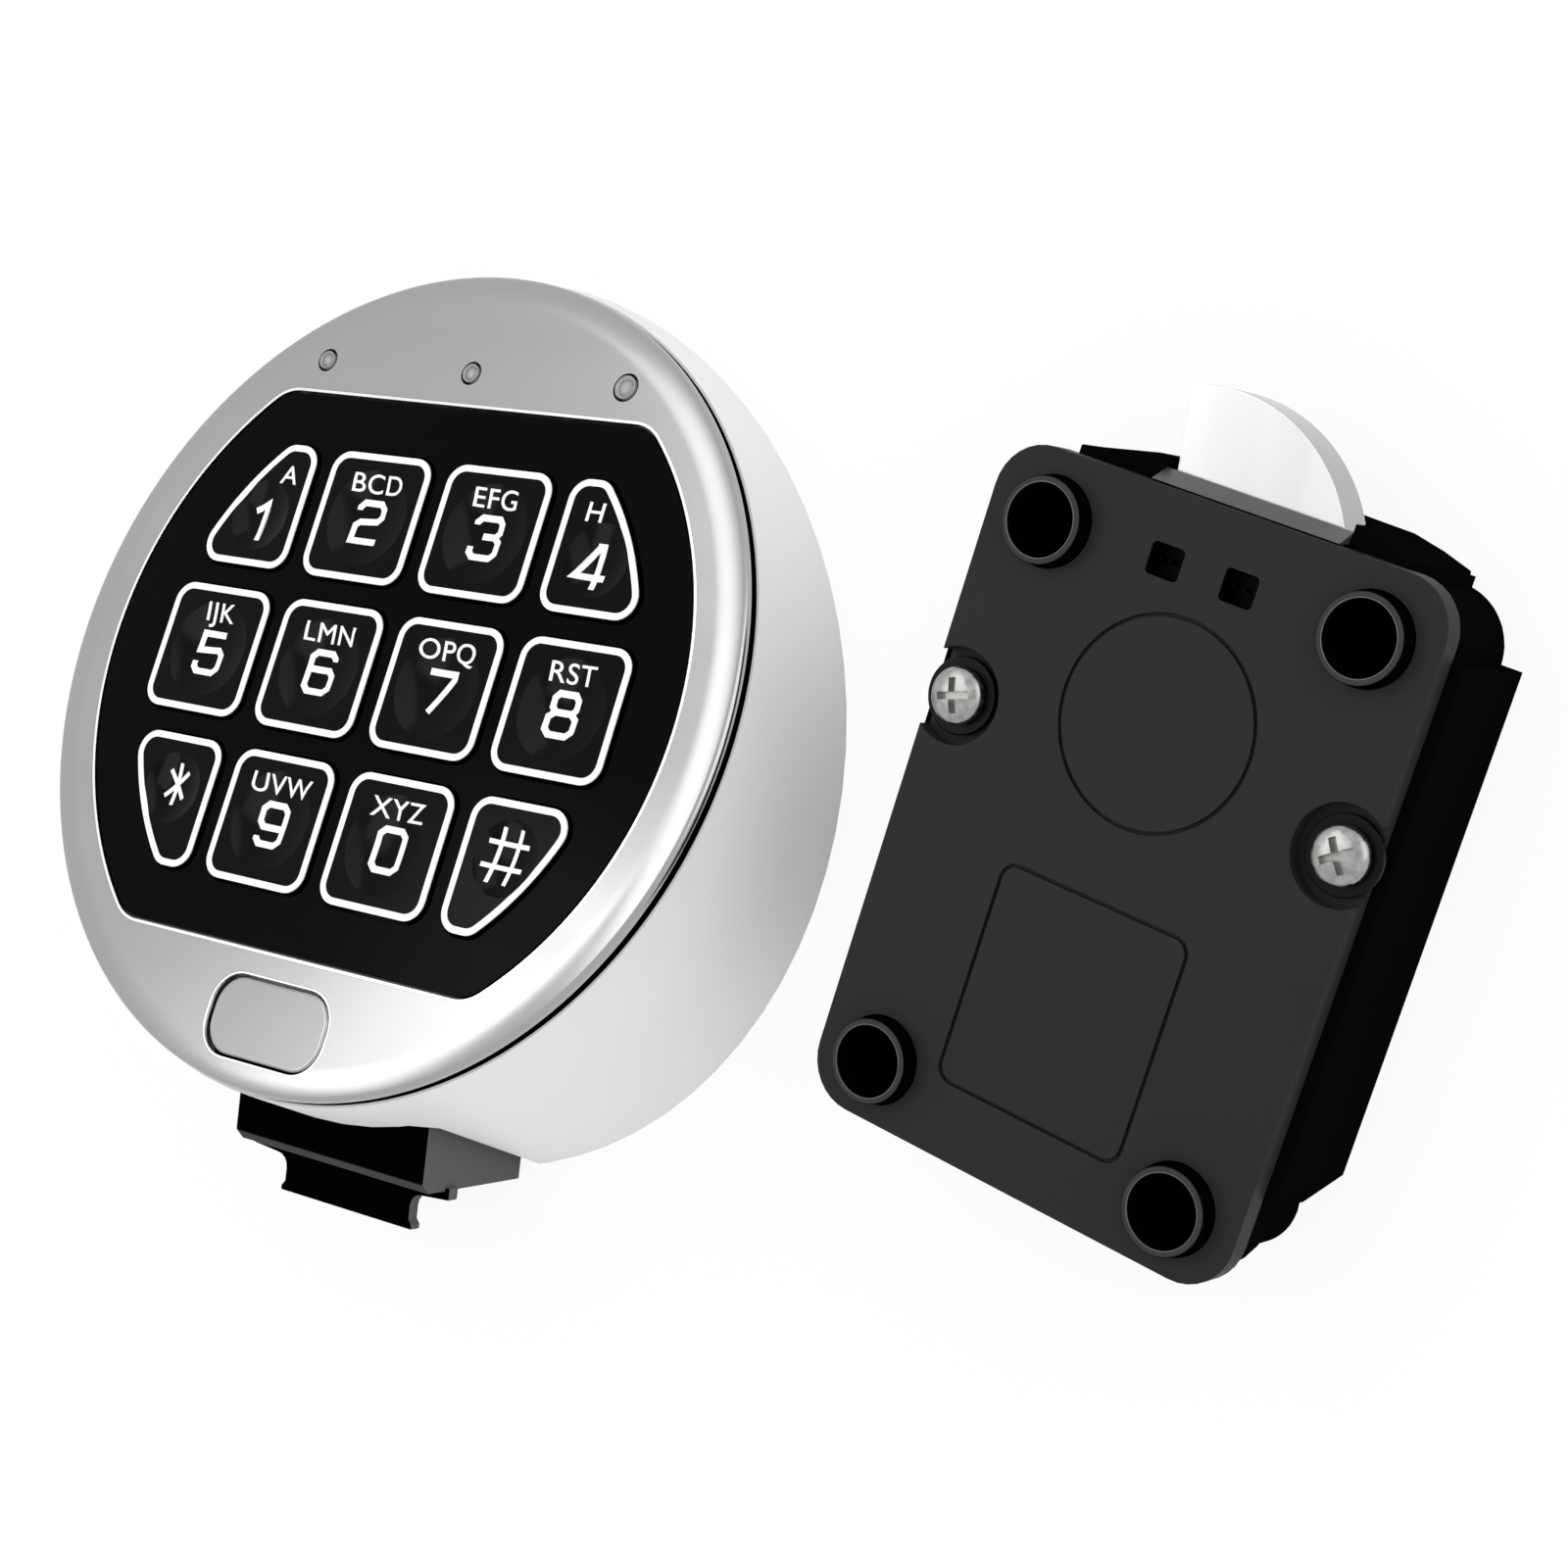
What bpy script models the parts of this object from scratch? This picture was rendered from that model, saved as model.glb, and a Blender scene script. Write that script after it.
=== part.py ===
"""Electronic safe lock: a round wedge-shaped keypad with its battery, and a lock body with a swing bolt.

Metres, +Z up. Both units lie side by side on the faces that bolt to a safe door. The keypad's "up" is +Y.
Face sizes are measured from the centre of the keypad's sloping face, lock sizes from the centre of the
lock's four mounting holes.
"""

import math

import bmesh
import bpy
from mathutils import Matrix, Vector

# Clearances, and how far a cutter runs past what it cuts
CLEARANCE = 0.0003
OVERRUN = 0.002
WELD_DISTANCE = 0.000002

# How many flats stand for a full turn
RIM_FLATS = 72
HOLE_FLATS = 20
SMALL_FLATS = 12
CORNER_FLATS = 4
PIN_FLATS = 6
ARC_FLATS = 20

# Where the two units stand
KEYPAD_X = -0.04347
KEYPAD_Y = 0.00285
LOCK_FROM_KEYPAD_X = 0.1113
LOCK_FROM_KEYPAD_Y = -0.0003
LOCK_YAW = math.radians(-12)

# Keypad housing: a round wall between a level foot and a sloping top
FACE_SLOPE = math.radians(16.5)
FACE_HEIGHT = 0.0221
FACE_FORWARD = 0.0065
FOOT_RADIUS = 0.0613
WALL_TOP_RADIUS = 0.0579
WALL_THICKNESS = 0.0025
DECK_TOP = -0.0028
DECK_THICKNESS = 0.0018
DECK_BOTTOM = DECK_TOP - DECK_THICKNESS
WINDOW_RADIUS = 0.0446
WINDOW_HALF_HEIGHT = 0.0335
WINDOW_CORNER = 0.004

# Face ring
RING_RADIUS = 0.0575
RING_THICKNESS = 0.0024
RING_EDGE = 0.0013

# Black key panel, a barrel with straight top and bottom edges
PANEL_RADIUS = 0.0500
PANEL_HALF_HEIGHT = 0.0387
PANEL_CENTRE_Y = -0.0005
PANEL_CORNER = 0.006
PANEL_TOP = -0.0002
PANEL_BOTTOM = DECK_TOP + CLEARANCE

# Keys: three rows of four, the corner keys trimmed by a circle round the middle of the rows
KEY_ROWS = 3
KEY_COLUMNS = 4
KEY_PITCH_X = 0.0212
KEY_PITCH_Y = 0.0216
KEY_HALF_SIDE = 0.0091
KEY_CORNER = 0.0030
KEY_TRIM_RADIUS = 0.0418
KEY_MIDDLE_X = 0.0006
KEY_MIDDLE_Y = -0.0006
KEY_PROUD = 0.0006
KEY_EDGE = 0.0003
KEY_FLANGE_REACH = 0.0009
KEY_FLANGE_THICKNESS = 0.0007
DISH_RADIUS = 0.0069
CORNER_DISH_RADIUS = 0.0051
CORNER_DISH_SHIFT = 0.0016
DISH_DEPTH = 0.0008
DISH_STEPS = 3
KEY_NAMES = (
    ("key_1", "key_2", "key_3", "key_4"),
    ("key_5", "key_6", "key_7", "key_8"),
    ("key_star", "key_9", "key_0", "key_hash"),
)

# Rubber mat and circuit board under the keys
MAT_RADIUS = 0.0464
MAT_HALF_HEIGHT = 0.0355
MAT_TOP = DECK_BOTTOM - CLEARANCE
MAT_THICKNESS = 0.0008
DOME_RADIUS = 0.0042
DOME_TOP_RADIUS = 0.0034
DOME_RISE = 0.0003
BOARD_RADIUS = 0.0502
BOARD_HALF_HEIGHT = 0.0370
BOARD_TOP = MAT_TOP - MAT_THICKNESS - CLEARANCE
BOARD_THICKNESS = 0.0013
BOARD_BOTTOM = BOARD_TOP - BOARD_THICKNESS

# Board screws: they pass the board beside the mat and stop in the deck
BOARD_SCREW_X = 0.0480
BOARD_SCREW_Y = 0.0070
BOARD_SCREW_RADIUS = 0.0009
BOARD_SCREW_HEAD_RADIUS = 0.0017
BOARD_SCREW_HEAD = 0.0012
BOARD_SCREW_DEPTH = 0.0012

# Three indicators above the panel, and the plain oval pad under it
INDICATOR_SPACING = 0.0267
INDICATOR_Y = 0.0430
INDICATOR_RADIUS = 0.0014
WIDE_INDICATOR_RADIUS = 0.0017
INDICATOR_RISE = 0.0003
PAD_Y = -0.0483
PAD_HALF_WIDTH = 0.0106
PAD_HALF_HEIGHT = 0.0056
PAD_CORNER = 0.0046
PAD_RECESS = 0.0016
PAD_THICKNESS = 0.0010

# Sounder and cable socket on the underside of the board
SOUNDER_X = -0.0300
SOUNDER_Y = -0.0120
SOUNDER_RADIUS = 0.0060
SOUNDER_HEIGHT = 0.0050
SOUNDER_PORT_RADIUS = 0.0010
KEYPAD_SOCKET_X = 0.0280
KEYPAD_SOCKET_Y = -0.0060
KEYPAD_SOCKET_HALF_X = 0.0050
KEYPAD_SOCKET_HALF_Y = 0.0028
KEYPAD_SOCKET_HEIGHT = 0.0060
KEYPAD_SOCKET_WALL = 0.0010
KEYPAD_SOCKET_FLOOR = 0.0012

# Base plate, its cable hole, the holes for door screws, and the screws that go up into the housing's posts
PLATE_THICKNESS = 0.0012
PLATE_GAP = 0.0009
CABLE_HOLE_RADIUS = 0.0060
CABLE_HOLE_Y = 0.0120
DOOR_SCREW_HOLE_RADIUS = 0.0023
DOOR_SCREW_X = 0.0360
POST_RADIUS = 0.0030
UPPER_POST_X = 0.0134
UPPER_POST_Y = 0.0464
LOWER_POST_X = 0.0270
LOWER_POST_Y = -0.0350
POST_SCREW_RADIUS = 0.0012
POST_SCREW_HEAD_RADIUS = 0.0023
POST_SCREW_DEPTH = 0.0032

# Battery, the block that its terminals meet, and its sliding carrier
BATTERY_HALF_WIDTH = 0.01325
BATTERY_HEIGHT = 0.0175
BATTERY_LENGTH = 0.0460
BATTERY_CORNER = 0.0020
BATTERY_INNER_Y = -0.0130
TERMINAL_SPACING = 0.00635
TERMINAL_LENGTH = 0.0025
STUD_TERMINAL_RADIUS = 0.0029
SOCKET_TERMINAL_RADIUS = 0.0040
CONTACT_THICKNESS = 0.0020
CONTACT_HALF_WIDTH = 0.0125
CONTACT_HEIGHT = 0.0130
CONTACT_FOOT = 0.0040
CARRIER_FLOOR = 0.0006
CARRIER_WALL = 0.0011
CARRIER_SIDE_HEIGHT = 0.0120
CARRIER_BOTTOM = PLATE_THICKNESS + CLEARANCE
BATTERY_BOTTOM = CARRIER_BOTTOM + CARRIER_FLOOR + CLEARANCE
BATTERY_MIDDLE = BATTERY_BOTTOM + BATTERY_HEIGHT / 2
BATTERY_OUTER_Y = BATTERY_INNER_Y - BATTERY_LENGTH

# Drawer front round the battery's outer end, the wider opening in the wall, and the flat pull tab
DRAWER_HALF_WIDTH = 0.0174
DRAWER_TOP = 0.0214
DRAWER_INNER_Y = -0.0460
DRAWER_FRONT = 0.0012
DRAWER_CHAMFER = 0.0014
OPENING_HALF_WIDTH = 0.0194
OPENING_TOP = 0.0246
OPENING_CORNER = 0.0030
TAB_TOP = 0.0168
TAB_THICKNESS = 0.0018
TAB_ROOT_HALF_WIDTH = 0.0182
TAB_ROOT_LENGTH = 0.0015
TAB_ROOT_TAPER = 0.0004
TAB_HALF_WIDTH = 0.0116
TAB_LENGTH = 0.0050
TAB_FILLET = 0.0018
LIP_HALF_WIDTH = 0.0122
LIP_LENGTH = 0.0007

# Lock body: the four mounting holes, and heights above the mounting face
LOCK_HOLE_X = 0.02065
LOCK_HOLE_Y = 0.03335
CASE_FLOOR = 0.0020
CASE_TOP = 0.0165
COVER_BOTTOM = CASE_TOP + CLEARANCE
COVER_TOP = 0.0200
SLEEVE_TOP = 0.0224
SLEEVE_RADIUS = 0.0051
SLEEVE_BORE = 0.0042

# Case outline: a wide body between the holes, a long body over the bolt, and round corners at the holes
CASE_HALF_WIDTH = 0.0306
CASE_SIDE_TOP = 0.0337
CASE_SIDE_BOTTOM = -0.0270
CASE_CHAMFER_X = 0.0272
CASE_CHAMFER_Y = -0.0320
CASE_LONG_HALF_WIDTH = 0.0218
CASE_LONG_TOP = 0.0419
CASE_LONG_BOTTOM = -0.0398
TOP_CORNER_RADIUS = 0.0074
FOOT_CORNER_RADIUS = 0.0063
EAR_RADIUS = 0.0076
EAR_BOTTOM = 0.0105

# Hollow of the case
POCKET_HALF_WIDTH = 0.0284
POCKET_TOP = 0.0250
POCKET_BOTTOM = -0.0245
NECK_HALF_WIDTH = 0.0128
NECK_TOP = 0.0397
NECK_BOTTOM = -0.0376

# Cover: plate with rounded edges, two screw recesses in its sides and fine engraved lines
COVER_HALF_WIDTH = 0.0291
COVER_END_TOP = 0.0415
COVER_END_BOTTOM = -0.0408
COVER_CORNER = 0.0062
COVER_EDGE = 0.0012
COVER_EDGE_STEPS = 2
COVER_HALF_LENGTH = (COVER_END_TOP - COVER_END_BOTTOM) / 2
COVER_MIDDLE_Y = (COVER_END_TOP + COVER_END_BOTTOM) / 2
RECESS_RADIUS = 0.0058
RECESS_FLOOR = 0.0178
ENGRAVING_WIDTH = 0.0004
ENGRAVING_DEPTH = 0.0003
ENGRAVED_CIRCLE_RADIUS = 0.0122
ENGRAVED_CIRCLE_Y = 0.0163
ENGRAVED_SQUARE_HALF_X = 0.0126
ENGRAVED_SQUARE_HALF_Y = 0.0135
ENGRAVED_SQUARE_Y = -0.0184
ENGRAVED_SQUARE_CORNER = 0.0020

# Cover screws with washers, and the bosses they go into
SCREW_X = 0.0256
SCREW_Y = 0.0106
SCREW_RADIUS = 0.0016
SCREW_HOLE_RADIUS = 0.0020
SCREW_DEPTH = 0.0080
SCREW_HEAD_RADIUS = 0.0034
SCREW_HEAD = 0.0019
SCREW_HEAD_CROWN = 0.0009
SCREW_BOSS_RADIUS = 0.0036
WASHER_RADIUS = 0.0046
WASHER_THICKNESS = 0.0007
CROSS_WIDTH = 0.0009
CROSS_LENGTH = 0.0040
CROSS_DEPTH = 0.0009

# Swing bolt: a quarter disc on a pin, its heel cut back in a spiral that moves the locking lever
BOLT_X = -0.0055
BOLT_Y = 0.0344
BOLT_RADIUS = 0.0193
BOLT_BOTTOM = 0.0090
BOLT_TOP = 0.0150
BOLT_SIDE_ANGLE = math.radians(99.3)
BOLT_SIDE_OFFSET = 0.0029
BOLT_HUB_RADIUS = 0.0046
BOLT_HUB_END = math.radians(290)
BOLT_FULL_ANGLE = math.radians(25)
BOLT_HEEL_ANGLE = math.radians(-18)
BOLT_HEEL_RADIUS = 0.0156
BOLT_ARC_FLATS = 26
BOLT_PIN_RADIUS = 0.0026
BOLT_BOSS_RADIUS = 0.0040
BOLT_ROOM = 0.0006
BOLT_ROOM_START = math.radians(-40)
SLOT_LEFT = -0.0108
SLOT_RIGHT = 0.0134
SLOT_BOTTOM = 0.0085

# Return spring of the bolt, wound round the boss under it
SPRING_RADIUS = 0.00475
SPRING_WIRE = 0.00035
SPRING_TURNS = 4
SPRING_BOTTOM = 0.0028
SPRING_PITCH = 0.0012
SPRING_STEPS = 16
SPRING_LEG = 0.0060

# Locking lever and its pin
LEVER_X = 0.0000
LEVER_Y = 0.0103
LEVER_BOTTOM = 0.0103
LEVER_THICKNESS = 0.0028
LEVER_TIP_X = 0.0089
LEVER_TIP_Y = 0.0259
LEVER_TIP_RADIUS = 0.0013
LEVER_ARM_HALF_WIDTH = 0.0019
LEVER_HUB_RADIUS = 0.0036
LEVER_PIN_RADIUS = 0.0016
LEVER_PIN_TOP = 0.0142
LEVER_BOSS_RADIUS = 0.0032
FORK_LENGTH = 0.0160
FORK_HALF_WIDTH = 0.0025
FORK_SLOT_HALF_WIDTH = 0.0014

# Solenoid: bracket, coil and plunger with the upright pin that the lever's fork holds
SOLENOID_Y = -0.0030
SOLENOID_AXIS = 0.0083
COIL_LEFT = -0.0267
COIL_LENGTH = 0.0170
COIL_RADIUS = 0.0042
COIL_BORE = 0.0021
FLANGE_RADIUS = 0.0047
FLANGE_THICKNESS = 0.0010
BRACKET_THICKNESS = 0.0010
BRACKET_HALF_WIDTH = 0.0048
BRACKET_TOP = 0.0136
PLUNGER_RADIUS = 0.0016
PLUNGER_LEFT = -0.0180
PLUNGER_RIGHT = 0.0018
PLUNGER_PIN_RADIUS = 0.0010
PLUNGER_PIN_TOP = 0.0136

# Lock circuit board under the cover, its posts, and the two square cable sockets that show in the cover
LOCK_BOARD_BOTTOM = 0.0153
LOCK_BOARD_TOP = 0.0165
LOCK_BOARD_HALF_WIDTH = 0.0215
LOCK_BOARD_LOW = -0.0230
LOCK_BOARD_HIGH = 0.0240
LOCK_BOARD_NECK_HALF_WIDTH = 0.0115
LOCK_BOARD_NECK_HIGH = 0.0375
BOARD_POST_X = 0.0180
BOARD_POST_LOW_Y = -0.0195
BOARD_POST_HIGH_Y = 0.0210
BOARD_POST_RADIUS = 0.0020
LEFT_SOCKET_X = -0.0052
RIGHT_SOCKET_X = 0.0044
SOCKET_Y = 0.0336
SOCKET_OPENING_HALF_X = 0.00215
SOCKET_OPENING_HALF_Y = 0.0019
SOCKET_WALL = 0.0006
SOCKET_FLOOR = 0.0006
SOCKET_TOP = 0.0197
SOCKET_PIN_RADIUS = 0.0003
SOCKET_PIN_RISE = 0.0020
SOCKET_PIN_SPACING = 0.0013

# Colours as linear red, green, blue
SILVER_PAINT = (0.70, 0.71, 0.72)
BRUSHED_SILVER = (0.52, 0.52, 0.53)
GLOSS_BLACK = (0.008, 0.008, 0.009)
KEY_BLACK = (0.010, 0.010, 0.012)
LENS_GREY = (0.35, 0.35, 0.36)
RUBBER_BLACK = (0.03, 0.03, 0.03)
BOARD_GREEN = (0.02, 0.16, 0.06)
ZINC = (0.62, 0.62, 0.60)
PLATE_STEEL = (0.45, 0.46, 0.48)
TAB_BLACK = (0.012, 0.012, 0.013)
BATTERY_GREY = (0.20, 0.21, 0.22)
CHARCOAL = (0.045, 0.045, 0.048)
SLEEVE_BLACK = (0.015, 0.015, 0.016)
POLISHED_STEEL = (0.85, 0.85, 0.86)
COPPER_BROWN = (0.42, 0.16, 0.06)
SOCKET_CREAM = (0.80, 0.79, 0.74)

QUARTER_TURN = math.pi / 2


def new_collection(name):
    collection = bpy.data.collections.new(name)
    bpy.context.scene.collection.children.link(collection)
    return collection


def new_material(name, colour, roughness, metallic=0.0):
    material = bpy.data.materials.new(name)
    material.use_nodes = True
    shader = material.node_tree.nodes["Principled BSDF"]
    shader.inputs["Base Color"].default_value = (*colour, 1.0)
    shader.inputs["Roughness"].default_value = roughness
    shader.inputs["Metallic"].default_value = metallic
    material.diffuse_color = (*colour, 1.0)
    return material


# Outlines, as lists of points that run anticlockwise


def arc(radius, start, end, flats, x=0.0, y=0.0):
    angles = [start + (end - start) * i / flats for i in range(flats + 1)]
    return [(x + radius * math.cos(a), y + radius * math.sin(a)) for a in angles]


def circle(radius, flats, x=0.0, y=0.0):
    return arc(radius, 0.0, math.tau, flats, x, y)[:-1]


def rectangle(left, right, low, high):
    return [(left, low), (right, low), (right, high), (left, high)]


def rounded_rectangle(half_x, half_y, radius, x=0.0, y=0.0):
    points = []
    for turn, (side, up) in enumerate(((1, 1), (-1, 1), (-1, -1), (1, -1))):
        middle_x = x + side * (half_x - radius)
        middle_y = y + up * (half_y - radius)
        start = turn * QUARTER_TURN
        points += arc(radius, start, start + QUARTER_TURN, CORNER_FLATS, middle_x, middle_y)
    return points


def barrel(radius, half_height, corner, middle_y=0.0):
    """A circle cut straight at the top and the bottom, its four corners rounded."""
    low = half_height - middle_y - corner
    high = half_height + middle_y - corner
    low_x = math.sqrt((radius - corner) ** 2 - low ** 2)
    high_x = math.sqrt((radius - corner) ** 2 - high ** 2)
    low_angle = -math.atan2(low, low_x)
    high_angle = math.atan2(high, high_x)
    right = arc(corner, -QUARTER_TURN, low_angle, CORNER_FLATS, low_x, -low)
    right += arc(radius, low_angle, high_angle, ARC_FLATS)[1:-1]
    right += arc(corner, high_angle, QUARTER_TURN, CORNER_FLATS, high_x, high)
    return right + [(-x, y) for x, y in reversed(right)]


# Meshes


def plate_mesh(name, outlines, bottom, top):
    """A flat plate. An outline inside another is a hole through it."""
    curve = bpy.data.curves.new(name, "CURVE")
    curve.dimensions = "2D"
    curve.fill_mode = "BOTH"
    curve.extrude = (top - bottom) / 2
    for outline in outlines:
        spline = curve.splines.new("POLY")
        spline.points.add(len(outline) - 1)
        for point, (x, y) in zip(spline.points, outline):
            point.co = (x, y, 0.0, 1.0)
        spline.use_cyclic_u = True
    flat = bpy.data.objects.new(name, curve)
    cutters_collection.objects.link(flat)
    bpy.context.view_layer.update()
    graph = bpy.context.evaluated_depsgraph_get()
    mesh = bpy.data.meshes.new_from_object(flat.evaluated_get(graph))
    bpy.data.objects.remove(flat)
    bpy.data.curves.remove(curve)
    mesh.transform(Matrix.Translation((0.0, 0.0, (top + bottom) / 2)))
    return welded(mesh)


def welded(mesh):
    """The same mesh with its loose caps joined on, ready for Boolean and Bevel modifiers."""
    shape = bmesh.new()
    shape.from_mesh(mesh)
    bmesh.ops.remove_doubles(shape, verts=shape.verts, dist=WELD_DISTANCE)
    bmesh.ops.dissolve_limit(
        shape, angle_limit=math.radians(0.1), verts=shape.verts, edges=shape.edges
    )
    bmesh.ops.recalc_face_normals(shape, faces=shape.faces)
    shape.to_mesh(mesh)
    shape.free()
    mesh.materials.clear()
    return mesh


def add_cylinder(shape, radius, bottom, top, flats, x=0.0, y=0.0, top_radius=None):
    """Adds a closed cylinder or cone to a bmesh, standing at x, y."""
    bmesh.ops.create_cone(
        shape,
        cap_ends=True,
        segments=flats,
        radius1=radius,
        radius2=radius if top_radius is None else top_radius,
        depth=top - bottom,
        matrix=Matrix.Translation((x, y, (top + bottom) / 2)),
    )


def cylinder_mesh(name, *cylinders):
    shape = bmesh.new()
    for cylinder in cylinders:
        add_cylinder(shape, *cylinder)
    return mesh_of(name, shape)


def box_mesh(name, *boxes):
    """Boxes given as left, right, low, high, bottom and top."""
    shape = bmesh.new()
    for left, right, low, high, bottom, top in boxes:
        middle = Vector((left + right, low + high, bottom + top)) / 2
        size = Vector((right - left, high - low, top - bottom))
        matrix = Matrix.Translation(middle) @ Matrix.Diagonal((*size, 1.0))
        bmesh.ops.create_cube(shape, size=1.0, matrix=matrix)
    return mesh_of(name, shape)


def profile_mesh(name, profile, closed=False):
    """A line of points, as radius and height, for a Screw modifier to turn."""
    shape = bmesh.new()
    points = [shape.verts.new((radius, 0.0, height)) for radius, height in profile]
    for start, end in zip(points, points[1:]):
        shape.edges.new((start, end))
    if closed:
        shape.edges.new((points[-1], points[0]))
    return mesh_of(name, shape)


def loft_mesh(name, loops):
    """The closed solid between unlike loops of points that have the same count."""
    shape = bmesh.new()
    rows = [[shape.verts.new(point) for point in loop] for loop in loops]
    for row in (rows[0], rows[-1]):
        shape.faces.new(row)
    for lower, upper in zip(rows, rows[1:]):
        for i in range(len(lower)):
            j = (i + 1) % len(lower)
            shape.faces.new((lower[i], lower[j], upper[j], upper[i]))
    bmesh.ops.recalc_face_normals(shape, faces=shape.faces)
    return mesh_of(name, shape)


def mesh_of(name, shape):
    mesh = bpy.data.meshes.new(name)
    shape.to_mesh(mesh)
    shape.free()
    return mesh


def level(outline, height):
    return [Vector((x, y, height)) for x, y in outline]


# Objects


def add_part(name, mesh, parent, material, location=(0.0, 0.0, 0.0), rotation=(0.0, 0.0, 0.0)):
    obj = bpy.data.objects.new(name, mesh)
    parts_collection.objects.link(obj)
    obj.parent = parent
    obj.location = location
    obj.rotation_euler = rotation
    mesh.materials.append(material)
    return obj


def add_tool(mesh, parent, location=(0.0, 0.0, 0.0), rotation=(0.0, 0.0, 0.0)):
    """A hidden object that cuts another, or is joined to it."""
    obj = bpy.data.objects.new(mesh.name, mesh)
    cutters_collection.objects.link(obj)
    obj.parent = parent
    obj.location = location
    obj.rotation_euler = rotation
    obj.hide_render = True
    obj.display_type = "WIRE"
    return obj


def cut(target, mesh, parent, location=(0.0, 0.0, 0.0), rotation=(0.0, 0.0, 0.0)):
    combine(target, add_tool(mesh, parent, location, rotation), "DIFFERENCE")


def join(target, mesh, parent, location=(0.0, 0.0, 0.0), rotation=(0.0, 0.0, 0.0)):
    combine(target, add_tool(mesh, parent, location, rotation), "UNION")


def combine(target, tool, operation):
    modifier = target.modifiers.new(tool.name, "BOOLEAN")
    modifier.operation = operation
    modifier.solver = "EXACT"
    modifier.object = tool


def turn_profile(obj, flats):
    modifier = obj.modifiers.new("turned", "SCREW")
    modifier.axis = "Z"
    modifier.steps = flats
    modifier.render_steps = flats
    modifier.use_merge_vertices = True
    modifier.merge_threshold = WELD_DISTANCE
    return modifier


def round_top_edges(obj, width, segments):
    """Bevels the edges between a plate's top and its sides."""
    shape = bmesh.new()
    shape.from_mesh(obj.data)
    top = max(vert.co.z for vert in shape.verts)
    weights = shape.edges.layers.float.new("bevel_weight_edge")
    for edge in shape.edges:
        at_top = all(top - vert.co.z < WELD_DISTANCE for vert in edge.verts)
        if at_top and edge.calc_face_angle() > QUARTER_TURN / 2:
            edge[weights] = 1.0
    shape.to_mesh(obj.data)
    shape.free()
    modifier = obj.modifiers.new("rounded_edge", "BEVEL")
    modifier.limit_method = "WEIGHT"
    modifier.width = width
    modifier.segments = segments


# Keypad


def wall_loops(foot_radius, top_radius, foot_height, top_height):
    """The level foot circle and the sloping top circle of the housing's wall."""
    foot = level(circle(foot_radius, RIM_FLATS), foot_height)
    top = [face_in_base @ point for point in level(circle(top_radius, RIM_FLATS), top_height)]
    return [foot, top]


def post_spots():
    return (
        (UPPER_POST_X, UPPER_POST_Y),
        (-UPPER_POST_X, UPPER_POST_Y),
        (-LOWER_POST_X, LOWER_POST_Y),
        (LOWER_POST_X, LOWER_POST_Y),
    )


def deck_height(y):
    """How high the middle of the sloping deck is over a place on the base."""
    middle = DECK_BOTTOM + DECK_THICKNESS / 2
    up_face = (y - FACE_FORWARD - middle * math.sin(FACE_SLOPE)) / math.cos(FACE_SLOPE)
    return FACE_HEIGHT - up_face * math.sin(FACE_SLOPE) + middle * math.cos(FACE_SLOPE)


def make_housing():
    wall = loft_mesh("keypad_housing", wall_loops(FOOT_RADIUS, WALL_TOP_RADIUS, 0.0, DECK_TOP))
    housing = add_part("keypad_housing", wall, keypad_base, silver_paint)
    foot_flare = (FOOT_RADIUS - WALL_TOP_RADIUS) / FACE_HEIGHT * OVERRUN
    inner_foot = FOOT_RADIUS - WALL_THICKNESS + foot_flare
    inner_top = WALL_TOP_RADIUS - WALL_THICKNESS
    hollow = loft_mesh("housing_hollow", wall_loops(inner_foot, inner_top, -OVERRUN, DECK_BOTTOM))
    cut(housing, hollow, keypad_base)
    post_foot = PLATE_THICKNESS + CLEARANCE
    posts = [(POST_RADIUS, post_foot, deck_height(y), SMALL_FLATS, x, y) for x, y in post_spots()]
    join(housing, cylinder_mesh("housing_posts", *posts), keypad_base)
    window = barrel(WINDOW_RADIUS, WINDOW_HALF_HEIGHT, WINDOW_CORNER)
    below, above = DECK_BOTTOM - OVERRUN, DECK_TOP + OVERRUN
    cut(housing, plate_mesh("housing_window", [window], below, above), keypad_face)
    holes = [
        (radius + CLEARANCE, below, above, SMALL_FLATS, x, INDICATOR_Y)
        for _, x, radius in indicators()
    ]
    screw_end = DECK_BOTTOM + BOARD_SCREW_DEPTH + CLEARANCE
    for x, y in board_screw_spots():
        holes.append((BOARD_SCREW_RADIUS + CLEARANCE, below, screw_end, SMALL_FLATS, x, y))
    cut(housing, cylinder_mesh("deck_holes", *holes), keypad_face)
    screw_end = PLATE_THICKNESS + POST_SCREW_DEPTH + CLEARANCE
    screw_holes = [
        (POST_SCREW_RADIUS + CLEARANCE, -OVERRUN, screw_end, SMALL_FLATS, x, y)
        for x, y in post_spots()
    ]
    cut(housing, cylinder_mesh("post_holes", *screw_holes), keypad_base)
    half = OPENING_HALF_WIDTH
    lintel = OPENING_TOP - OPENING_CORNER
    opening = [
        (-half, -OVERRUN),
        (half, -OVERRUN),
        (half, lintel),
        (half - OPENING_CORNER, OPENING_TOP),
        (OPENING_CORNER - half, OPENING_TOP),
        (-half, lintel),
    ]
    mesh = plate_mesh("drawer_opening", [opening], 0.0, FOOT_RADIUS + OVERRUN + DRAWER_INNER_Y)
    cut(housing, mesh, keypad_base, (0.0, DRAWER_INNER_Y, 0.0), UPRIGHT)


def indicators():
    """Each indicator's name, place along X and radius."""
    return (
        ("indicator_left", -INDICATOR_SPACING, INDICATOR_RADIUS),
        ("indicator_centre", 0.0, INDICATOR_RADIUS),
        ("indicator_right", INDICATOR_SPACING, WIDE_INDICATOR_RADIUS),
    )


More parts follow.
